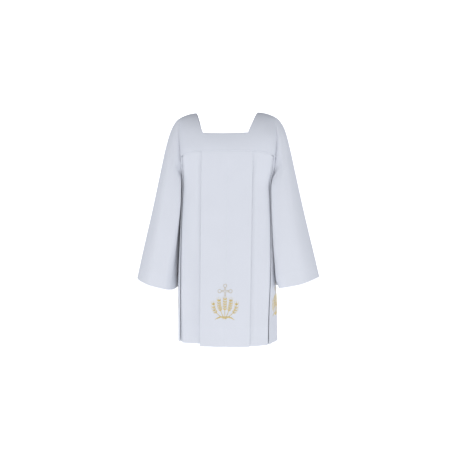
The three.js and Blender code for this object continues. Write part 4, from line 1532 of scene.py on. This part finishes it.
SLEEVE_FOLDS = (
    SleeveFold(Hand.RIGHT, 54.0, 106.0, 15.0, 4.6, 0.05, 0.35),
    SleeveFold(Hand.RIGHT, 80.0, 122.0, 10.0, -2.2, 0.2, 0.55),
    SleeveFold(Hand.RIGHT, 30.0, 60.0, 13.0, 2.0, 0.45, 0.8),
    SleeveFold(Hand.RIGHT, 290.0, 262.0, 18.0, 5.0, 0.2, 0.6),
    SleeveFold(Hand.RIGHT, 312.0, 300.0, 14.0, -2.0, 0.4, 0.8),
    SleeveFold(Hand.LEFT, 42.0, 98.0, 15.0, 4.2, 0.05, 0.3, 1.5),
    SleeveFold(Hand.LEFT, 66.0, 120.0, 12.0, -2.0, 0.25, 0.6),
    SleeveFold(Hand.LEFT, 38.0, 48.0, 14.0, 1.8, 0.5, 0.85),
    SleeveFold(Hand.LEFT, 285.0, 268.0, 20.0, 6.0, 0.1, 0.5),
    SleeveFold(Hand.LEFT, 318.0, 305.0, 12.0, -1.8, 0.4, 0.75),
)


class Sleeve:
    """One bell sleeve: rings from the armhole to the cuff, creased on top and rounded beneath."""

    SQUARE, TOP_CREASE = 2.7, 1.5
    CUFF_SAG, LEFT_CUFF_RAISE = 12.0, 9.0
    LEAN_MOST, LEAN_ALONG = 3.8, (0.07, 0.22, 0.72, 0.96)
    LAP_MOST, LAP_ACROSS = {Hand.LEFT: 29.0, Hand.RIGHT: 34.0}, (40.0, 92.0)
    LAP_ALONG = {Hand.LEFT: (0.1, 0.36, 0.9, 1.1), Hand.RIGHT: (0.1, 0.36, 0.55, 1.05)}
    TUCK_MOST, TUCK_BEHIND, TUCK_ALONG = 0.21, (0.3, 0.78), (0.12, 0.5)
    SHAPED_RATE, JOINED_RATE = 5, 12
    NEAR_CUFF, CUFF_STEP = 0.95, 0.02
    LOOP_SAMPLES, STITCHED_SAMPLES = 721, 700
    ROUND_COLUMNS, TOP_ROWS, LINE_ROWS, HEM_ROWS = 112, 96, 7, 12
    CAD_CLOTH, BUTTED = 1.2, 0.2

    def __init__(self, armhole: Armhole, hand: Hand) -> None:
        """Keeps the armhole and the side, and draws the sleeve's own ripples."""
        self.armhole, self.hand = armhole, hand
        seed = 31 if hand is Hand.LEFT else 32
        self.ripples = (Ripples(seed, 34.0, 0.19, 1.3), Ripples(seed + 10, 16.0, 0.09, 0.4))

    def relief(self, share: Array, angle: Array) -> Array:
        """Depth of folds and ripples, least on the inner side, where the sleeve hangs by the body."""
        degrees = np.degrees(angle) % 360.0
        folds = sum(f.depth_at(share, degrees) for f in SLEEVE_FOLDS if f.hand is self.hand)
        loose = smooth(share * 3.0) * np.clip(0.5 + np.cos(angle) * 0.9, 0.0, 1.0)
        return folds + loose * sum(ripple.at(degrees, share) for ripple in self.ripples)

    def place(self, angle: Array, share: Array) -> Array:
        """Places the sleeve's middle by the angle round it and the share of its length.

        In the plane of the sections it goes from the widest line towards the outer or inner end by the
        cosine of the angle, and out of it by the sine times the half depth, both raised to powers that
        make the crease on top and the squarer underside.
        """
        angle, share = np.broadcast_arrays(np.asarray(angle, float), np.asarray(share, float))
        place = share * (len(SLEEVE_SECTIONS) - 1)
        outer_x, outer_z, inner_x, inner_z, half_depth, widest = (
            curve_through(SLEEVE_SECTIONS[:, k], place) for k in range(6)
        )
        up, forward = np.cos(angle), np.sin(angle)
        worn = smooth(share * self.SHAPED_RATE)
        rising = up > 0
        under = mix(1.0, 2 / self.SQUARE, worn)
        reach = np.where(rising, np.maximum(up, 0.0), np.abs(up) ** under)
        deep = np.abs(forward) ** np.where(rising, mix(1.0, self.TOP_CREASE, worn), under)
        end_x, end_z = np.where(rising, outer_x, inner_x), np.where(rising, outer_z, inner_z)
        wide_x, wide_z = mix(outer_x, inner_x, widest), mix(outer_z, inner_z, widest)
        behind = np.where(forward < 0, deep, 0.0)
        tuck = self.TUCK_MOST * half_depth * rise(share, *self.TUCK_ALONG) * rise(behind, *self.TUCK_BEHIND)
        lifted = self.LEFT_CUFF_RAISE * share**4 if self.hand is Hand.LEFT else 0.0
        drop = self.CUFF_SAG * share**4 * deep * np.clip(0.5 - up / 2, 0.0, 1.0) - lifted
        x = mix(wide_x, end_x, reach) - tuck * (1 - np.maximum(0.0, up)) ** 2 - self._front_lean(share, up, forward)
        x = x - self._lap(share, up, half_depth * np.where(forward > 0, deep, 0.0))
        z = mix(wide_z, end_z, reach) - drop
        relief = self.relief(share, angle)
        depth = half_depth * deep - relief * np.minimum(1.0, np.abs(forward) * 3.0)
        y = -np.sign(forward) * depth
        x = x - relief * up * 0.5 * (1.0 - np.abs(forward)) * rising
        points = np.stack([x, y, z], axis=-1)
        points = self._joined_to_armhole(points, angle, share)
        points[..., 0] *= self.hand.value
        return self.armhole.form.worn(points)

    def _front_lean(self, share: Array, up: Array, forward: Array) -> Array:
        """How far the left sleeve's inner front leans in, so that it lies against the body."""
        if self.hand is Hand.RIGHT:
            return np.zeros_like(share)
        inner_front = smooth(-2 * up) * (1 - smooth(-2 * forward))
        return self.LEAN_MOST * rise_and_fall(share, self.LEAN_ALONG) * inner_front

    def _lap(self, share: Array, up: Array, front: Array) -> Array:
        """How far the inner front laps round the side of the body, by its distance in front of the middle."""
        along = rise_and_fall(share, self.LAP_ALONG[self.hand])
        return self.LAP_MOST[self.hand] * along * rise(front, *self.LAP_ACROSS) * smooth(-2 * up)

    def _joined_to_armhole(self, points: Array, angle: Array, share: Array) -> Array:
        """Leads the first stretch out of the armhole's loop."""
        ring = np.linspace(0.0, FULL_TURN, self.LOOP_SAMPLES)
        loop = self.armhole.loop(ring)
        turned = angle % FULL_TURN
        start = np.stack([np.interp(turned, ring, loop[:, k]) for k in range(3)], axis=-1)
        top = np.maximum(0.0, np.cos(angle)) ** 2
        start[..., 0] += self.BUTTED + (self.CAD_CLOTH / 2 + SEAM_GAP) * (1 - top)
        joined = smooth(share * self.JOINED_RATE)[..., None]
        return mix(start, points, joined)

    def build(self) -> Panel:
        """Makes the sleeve's cloth and its cuff stitches."""
        angle = (np.arange(self.ROUND_COLUMNS) / self.ROUND_COLUMNS * FULL_TURN)[None, :]
        line_share, rate = self._line_share(angle[0])
        share = row_shares(line_share, self.TOP_ROWS, self.LINE_ROWS, self.HEM_ROWS, LINE_REACH / rate)
        points = self.place(angle, share)
        above_line = (line_share - share) * rate
        down = way_along(points, 0)
        around = way_along(np.concatenate([points, points[:, :1]], axis=1), 1)
        across = around[around[:, -1].argmax()]
        flat = np.stack([np.broadcast_to(across[:-1], down.shape), -down], axis=-1)
        girth = np.full(len(down), across[-1])
        turned = self.hand is Hand.LEFT
        sheet = Sheet.from_grid(points, flat, *turned_up(above_line), turned=turned, girth=girth)
        name = f"sleeve_{self.hand.name.lower()}"
        cloth = sheet.as_wall(f"{name}_cloth", WHITE_CLOTH)
        stitches = StitchRun().piece(f"{name}_cuff_stitches", [self._stitched_line()])
        return Panel(name, cloth, sheet, [stitches])

    def _line_share(self, angle: Array) -> tuple[Array, Array]:
        """Share of the length at which the cuff's stitched line lies, and millimetres a share there."""
        near = np.full_like(angle, self.NEAR_CUFF)
        after, before = self.place(angle, near + self.CUFF_STEP), self.place(angle, near - self.CUFF_STEP)
        rate = np.linalg.norm(after - before, axis=-1) / (2 * self.CUFF_STEP)
        return 1 - CUFF_HEM_DEPTH / rate, rate

    def _stitched_line(self) -> tuple[Array, Array]:
        """The cuff's stitched line: a path on the outer side with its outward directions."""
        angle = np.linspace(0.0, FULL_TURN, self.STITCHED_SAMPLES)
        share, _ = self._line_share(angle)
        sign = 1 if self.hand is Hand.LEFT else -1
        normal = surface_normals(self.place, angle, share, 0.01, 0.004) * sign
        return self.place(angle, share) + normal * (SINGLE_CLOTH / 2 - HEM_GROOVE), normal


@dataclass(frozen=True)
class Embroidery:
    """A gold motif on a pleat: a plain outlined cross with ring ends above a sheaf of wheat.

    It is drawn flat in millimetres about its own middle, and every point is then laid on the cloth.

    Attributes:
        middle_z: Height of the motif's middle.
        height: Height of a satin stroke over the cloth.
    """

    middle_z: float = -735.0
    height: float = 0.8
    STEPS: int = 20
    RING: tuple[float, ...] = (-1.0, -0.6, 0.0, 0.6, 1.0, 0.5, 0.0, -0.5)

    def _stroke(self, ends: Sequence[tuple[float, float]], width: float, taper: float = 0.12) -> tuple[Array, Array]:
        """A curved stroke through two to four Bezier points, thinning over a share of each end."""
        t = np.linspace(0.0, 1.0, self.STEPS)[:, None]
        points = [np.array(p, float) for p in ends]
        while len(points) > 1:
            points = [mix(a, b, t) for a, b in zip(points[:-1], points[1:])]
        edge = np.minimum(t[:, 0], 1 - t[:, 0]) / taper
        return points[0], width / 2 * np.clip(np.sqrt(np.clip(edge, 0.0, 1.0)), 0.12, 1.0)

    def _ring(self, x: float, y: float, radius: float, width: float) -> tuple[Array, Array]:
        """A round stroke whose ends meet."""
        angle = np.linspace(0.0, FULL_TURN, self.STEPS)
        way = np.stack([x + radius * np.cos(angle), y + radius * np.sin(angle)], axis=-1)
        return way, np.full(self.STEPS, width / 2)

    def _cross(self) -> list[tuple[Array, Array]]:
        """The pale outlined cross: two lines a limb, rings on three limbs and a pointed foot."""
        ring, gap, wide, arm_y = 6.2, 2.2, 1.8, 40.0
        strokes = [self._ring(0.0, 60.0, ring, wide)]
        for sign in (-1, 1):
            limb_x, top, foot = sign * gap, arm_y + gap, arm_y - gap
            strokes.append(self._ring(sign * 20.5, arm_y, ring, wide))
            strokes.append(self._stroke([(limb_x, 54.4), (limb_x, top)], wide, 0.05))
            strokes.append(self._stroke([(limb_x, foot), (limb_x, 26.0)], wide, 0.05))
            strokes.append(self._stroke([(limb_x, 26.0), (limb_x, 23.0), (0.0, 19.0)], wide, 0.05))
            for level in (foot, top):
                strokes.append(self._stroke([(limb_x, level), (sign * 15.0, level)], wide, 0.05))
        return strokes

    def _ear(self, stem: Array, first: float, grains: int, size: float) -> list[tuple[Array, Array]]:
        """Pairs of grains along a stem, with one more at its tip.

        Args:
            stem: Points of the stem.
            first: Share of the stem at which the grains begin.
            grains: Number of pairs.
            size: Length of a grain.

        Returns:
            The grains and their awns.
        """
        numbers = np.arange(self.STEPS)
        strokes = []
        for at in np.linspace(first, 0.97, grains) * (self.STEPS - 1):
            base, ahead = (np.array([np.interp(a, numbers, stem[:, k]) for k in (0, 1)]) for a in (at, at - 0.6))
            heading = math.atan2(*(base - ahead)[::-1])
            for lean in (-0.8, 0.8):
                strokes.extend(self._grain(base, heading, lean, size))
        strokes.extend(self._grain(base, heading, 0.0, size))
        return strokes

    def _wheat(self) -> list[tuple[Array, Array]]:
        """Five ears of wheat in a fan with two broad leaves, tied at the foot."""
        middle, wide = self._stroke([(0.0, -66.0), (0.0, 8.0)], 2.2)
        strokes = [(middle, wide), *self._ear(middle, 0.46, 5, 9.5)]
        for s in (-1, 1):
            for ends, first, pairs in (
                ([(1.5 * s, -66.0), (11.0 * s, -44.0), (21.0 * s, -26.0), (22.0 * s, 3.0)], 0.5, 5),
                ([(2.5 * s, -66.0), (17.0 * s, -50.0), (42.0 * s, -44.0), (43.0 * s, -10.0)], 0.56, 4),
            ):
                stem, wide = self._stroke(ends, 2.2)
                strokes += [(stem, wide), *self._ear(stem, first, pairs, 9.5)]
            strokes.append(self._stroke([(2.0 * s, -58.0), (18.0 * s, -53.0), (36.0 * s, -67.0)], 5.2, 0.45))
        for level, reach in ((-55.0, 7.5), (-59.0, 6.6)):
            strokes.append(self._stroke([(-reach, level), (0.0, level - 3.5), (reach, level)], 3.0, 0.3))
        return strokes

    def _grain(self, base: Array, heading: float, lean: float, size: float) -> list[tuple[Array, Array]]:
        """A grain that leans off the stem, and the fine awn beyond its tip."""
        way = np.array([math.cos(heading + lean), math.sin(heading + lean)])
        forward = np.array([math.cos(heading), math.sin(heading)])
        start = base + way * 0.9
        tip = start + way * size * 0.85 + forward * size * 0.25
        grain = self._stroke([start, start + way * size * 0.6, tip], size * 0.44, 0.5)
        awn = self._stroke([tip, tip + forward * 3.5 + way, tip + forward * 6.5 + way], 0.9, 0.3)
        return [grain, awn]

    def _tubes(self, strokes: Sequence[tuple[Array, Array]]) -> tuple[Array, Array, Array]:
        """Gives strokes their domed section: the lift is the height times the root of one less the square.

        Args:
            strokes: Middle line and half width of each stroke.

        Returns:
            Points as flat x, flat y and lift; cells; and flat corner places.
        """
        centre = np.array([stroke[0] for stroke in strokes])
        half = np.array([stroke[1] for stroke in strokes])
        run = unit(np.gradient(centre, axis=1))
        side = np.stack([-run[..., 1], run[..., 0]], axis=-1)
        ring = np.array(self.RING)
        flat = centre[:, :, None, :] + side[:, :, None, :] * (half[..., None] * ring)[..., None]
        dome = np.sqrt(1 - ring**2)
        dome[5:] = -0.2
        lift = self.height * np.minimum(1.0, half / 0.9)[..., None] ** 0.6 * dome
        points = np.concatenate([flat, lift[..., None]], axis=-1)
        count, steps, around = lift.shape
        number, sides = tube_cells(steps, around)
        fan = np.array([[0, k, k + 1, k + 2] for k in range(1, around - 2, 2)])
        one = np.concatenate([sides[:, [0, 3, 2, 1]], number[0][fan], number[-1][fan[:, ::-1]]])
        cells = one[None] + (np.arange(count) * steps * around)[:, None, None]
        lie = np.stack(np.broadcast_arrays(way_along(centre, 1)[..., None], half[..., None] * ring), axis=-1)
        corners = lie.reshape(count, -1, 2)[:, one]
        return points.reshape(-1, 3), cells.reshape(-1, 4), corners.reshape(-1, 4, 2)

    def lay(self, name: str, surface: Callable[[Array, Array], Array], sign: int) -> list[bpy.types.Object]:
        """Lays the motif on a surface.

        Args:
            name: Start of the pieces' names.
            surface: Gives points for a way across and a height.
            sign: 1 or -1, so that the surface's directions face out.

        Returns:
            The pale and the gold piece.
        """
        pieces = []
        for part, strokes, finish in (
            ("cross", self._cross(), PALE_GOLD_THREAD),
            ("wheat", self._wheat(), GOLD_THREAD),
        ):
            points, cells, corners = self._tubes(strokes)
            x, z = points[:, 0], self.middle_z + points[:, 1]
            normal = surface_normals(surface, x, z, 0.5, 0.5) * sign
            placed = surface(x, z) + normal * (SINGLE_CLOTH / 2 + points[:, 2:])
            pieces.append(make_piece(f"{name}_{part}", placed, cells, corners, finish))
        return pieces


class Motifs:
    """The embroidery on all four box pleats."""

    SIDE_MIDDLE_ARC = 276.0

    def __init__(self, form: BodyForm) -> None:
        """Keeps the form."""
        self.form = form

    def face(self, facing: Facing) -> Callable[[Array, Array], Array]:
        """The middle pleat's face, by the way across at the hem and the height."""
        top_z = -YOKE_DEPTH - SEAM_GAP

        def place(across: Array, z: Array) -> Array:
            """Finds the share of the length from the height, then hangs as the pleat's face does."""
            share = (top_z - z) / (GARMENT_LENGTH + top_z)
            top_arc = across * FACE_HALF_TOP / FACE_HALF_HEM
            arc = mix(top_arc + top_sway(top_arc, facing), across + hem_sway(across, facing), share)
            pressed = HangingCloth.middle_crease(mix(top_arc, across, share), share)
            return self.form.point(z, arc, pressed, facing)

        return place

    def side(self, hand: Hand) -> Callable[[Array, Array], Array]:
        """The side pleat's face, by the way across from the motif's middle and the height."""

        def place(across: Array, z: Array) -> Array:
            """The face lies on the form itself."""
            return self.form.point(z, hand.value * (self.SIDE_MIDDLE_ARC + across), 0.0, Facing.FRONT)

        return place

    def build(self) -> dict[str, list[bpy.types.Object]]:
        """Makes the motifs and tells which node each belongs to."""
        motif, made = Embroidery(), {}
        for facing in Facing:
            name = facing.name.lower()
            made[f"{name}_skirt"] = motif.lay(f"{name}_motif", self.face(facing), facing.value)
        for hand in Hand:
            name = hand.name.lower()
            made[f"side_panel_{name}"] = motif.lay(f"{name}_motif", self.side(hand), hand.value)
        return made


@dataclass(frozen=True)
class Studio:
    """A pale round stage, soft lights and the camera.

    Attributes:
        azimuth: Camera's way round from the front, in degrees towards the wearer's left.
        height: Height of the camera and of what it looks at.
        distance: From the camera to the upright plane of the hem's front.
        hem_half_depth: From that plane to the garment's middle.
        frame_width: Width seen in that plane.
        aside: How far the camera is moved to its right.
        floor_z: Height of the floor.
        radius: Radius of the stage's wall.
        sensor: Width of the camera's sensor in real millimetres.
        light_colour: Colour of the round soft lights.
        sky_colour: Colour of the sky.
    """

    azimuth: float = 4.0
    height: float = -461.0
    distance: float = 2350.0
    hem_half_depth: float = 145.0
    frame_width: float = 1717.5
    aside: float = 6.8
    floor_z: float = -1480.0
    radius: float = 6500.0
    sensor: float = 36.0
    light_colour: tuple[float, float, float] = (1.0, 0.968, 0.94)
    sky_colour: tuple[float, float, float] = (0.875, 0.913, 1.0)

    def camera(self) -> None:
        """Makes the scene's camera at the photographed angle."""
        turned = math.radians(self.azimuth)
        look = np.array([-math.sin(turned), math.cos(turned), 0.0])
        right = np.array([math.cos(turned), math.sin(turned), 0.0])
        place = -look * (self.distance + self.hem_half_depth) + right * self.aside
        lens = bpy.data.cameras.new("camera")
        lens.sensor_width = self.sensor
        lens.lens = self.sensor * self.distance / self.frame_width
        lens.clip_end = 60.0
        camera = bpy.data.objects.new("camera", lens)
        camera.location = (place[0] * MM, place[1] * MM, self.height * MM)
        camera.rotation_euler = (QUARTER_TURN, 0.0, turned)
        bpy.context.scene.collection.objects.link(camera)
        bpy.context.scene.camera = camera

    def stage(self) -> None:
        """Makes the stage: a floor that sweeps up into a round wall and closes overhead.

        The profile is a quarter round between floor and wall and another between wall and ceiling, turned
        about the upright axis.
        """
        corner, tall, sides = 1500.0, 7000.0, 96
        angle = np.linspace(0.0, QUARTER_TURN, 13)
        low_r, low_z = self.radius - corner + corner * np.sin(angle), corner * (1 - np.cos(angle))
        reach = np.concatenate([[1.0], low_r, low_r[::-1], [1.0]])
        level = self.floor_z + np.concatenate([[0.0], low_z, tall - low_z[::-1], [tall]])
        round_angle = np.arange(sides) / sides * FULL_TURN
        x = reach[:, None] * np.cos(round_angle)
        y = reach[:, None] * np.sin(round_angle)
        points = np.stack([x, y, np.broadcast_to(level[:, None], x.shape)], axis=-1)
        _, cells = tube_cells(len(points), sides)
        corners = points[..., :2].reshape(-1, 2)[cells]
        stage = make_piece("stage", points.reshape(-1, 3), cells, corners, PaleStage())
        stage.visible_diffuse = False
        stage.visible_glossy = False
        stage.visible_shadow = False

    def lights(self) -> None:
        """Sets a low broad light in front and fainter ones round the sides, under a sky that is dim above."""
        self._panel("front_light", (-60.0, -3150.0, -850.0), (0.0, 0.0, -500.0), 2400.0, 24.5)
        self._panel("left_light", (-3000.0, -700.0, -700.0), (0.0, 0.0, -450.0), 1900.0, 7.0)
        self._panel("right_light", (3000.0, -900.0, -900.0), (0.0, 0.0, -450.0), 1900.0, 8.0)
        self._panel("back_light", (500.0, 3100.0, -1500.0), (0.0, 0.0, -520.0), 2400.0, 20.0)
        sky = bpy.data.worlds.new("sky")
        sky.use_nodes = True
        tree = sky.node_tree
        ground = next(node for node in tree.nodes if node.type == "BACKGROUND")
        set_inputs(ground, {"Color": (*self.sky_colour, 1.0)})
        way = add_node(tree, "ShaderNodeTexCoord")
        axes = add_node(tree, "ShaderNodeSeparateXYZ")
        tree.links.new(way.outputs["Generated"], axes.inputs[0])
        level = add_node(tree, "ShaderNodeMapRange")
        set_inputs(level, {"From Min": -0.4, "From Max": 0.8, "To Min": 1.0, "To Max": 0.34})
        tree.links.new(axes.outputs[2], level.inputs["Value"])
        tree.links.new(level.outputs[0], ground.inputs["Strength"])
        bpy.context.scene.world = sky

    def _panel(self, name: str, place: Sequence[float], aim: Sequence[float], size: float, watts: float) -> None:
        """Adds a round soft light that faces a point."""
        data = bpy.data.lights.new(name, "AREA")
        data.shape = "DISK"
        data.size = size * MM
        data.energy = watts
        data.color = self.light_colour
        light = bpy.data.objects.new(name, data)
        start, end = np.array(place) * MM, np.array(aim) * MM
        light.location = start
        way = end - start
        turn_z = math.atan2(way[0], -way[1]) + math.pi
        tilt = math.atan2(math.hypot(way[0], way[1]), -way[2])
        light.rotation_euler = (tilt, 0.0, turn_z)
        bpy.context.scene.collection.objects.link(light)

    def build(self) -> None:
        """Makes the whole studio."""
        self.camera()
        self.stage()
        self.lights()
        bpy.context.scene.view_settings.view_transform = "Standard"


def declare(panel: Panel, rests_on: Sequence[str]) -> None:
    """Ties a finished sub-assembly to the frame.

    Args:
        panel: The sub-assembly.
        rests_on: Names of what its cloth hangs from; not used.
    """
    for piece in (panel.cloth, *panel.extras):
        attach(piece, "root")
    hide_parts(panel.node)
    width, length = panel.sheet.cut()
    area = panel.sheet.area()
    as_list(panel.extras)
    LOG.info("%s: cut %.0f x %.0f mm, %.3f square metres", panel.cloth.name, width / MM, length / MM, area)


def main() -> None:
    """Builds the garment's sub-assemblies in order, then the studio."""
    logging.basicConfig(level=logging.INFO, format="%(message)s")
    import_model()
    form = BodyForm()
    armhole = Armhole(form)
    panels = []
    for facing in Facing:
        panels += [Yoke(form, armhole, facing).build(), Skirt(form, facing).build()]
    for hand in Hand:
        panels += [SidePanel(form, armhole, hand).build(), Sleeve(armhole, hand).build()]
    motifs = Motifs(form).build()
    for panel in panels:
        panel.extras.extend(motifs.get(panel.node, []))
        declare(panel, [] if "yoke" in panel.node else ["front_yoke_cloth", "back_yoke_cloth"])
    Studio().build()


if __name__ == "__main__":
    main()
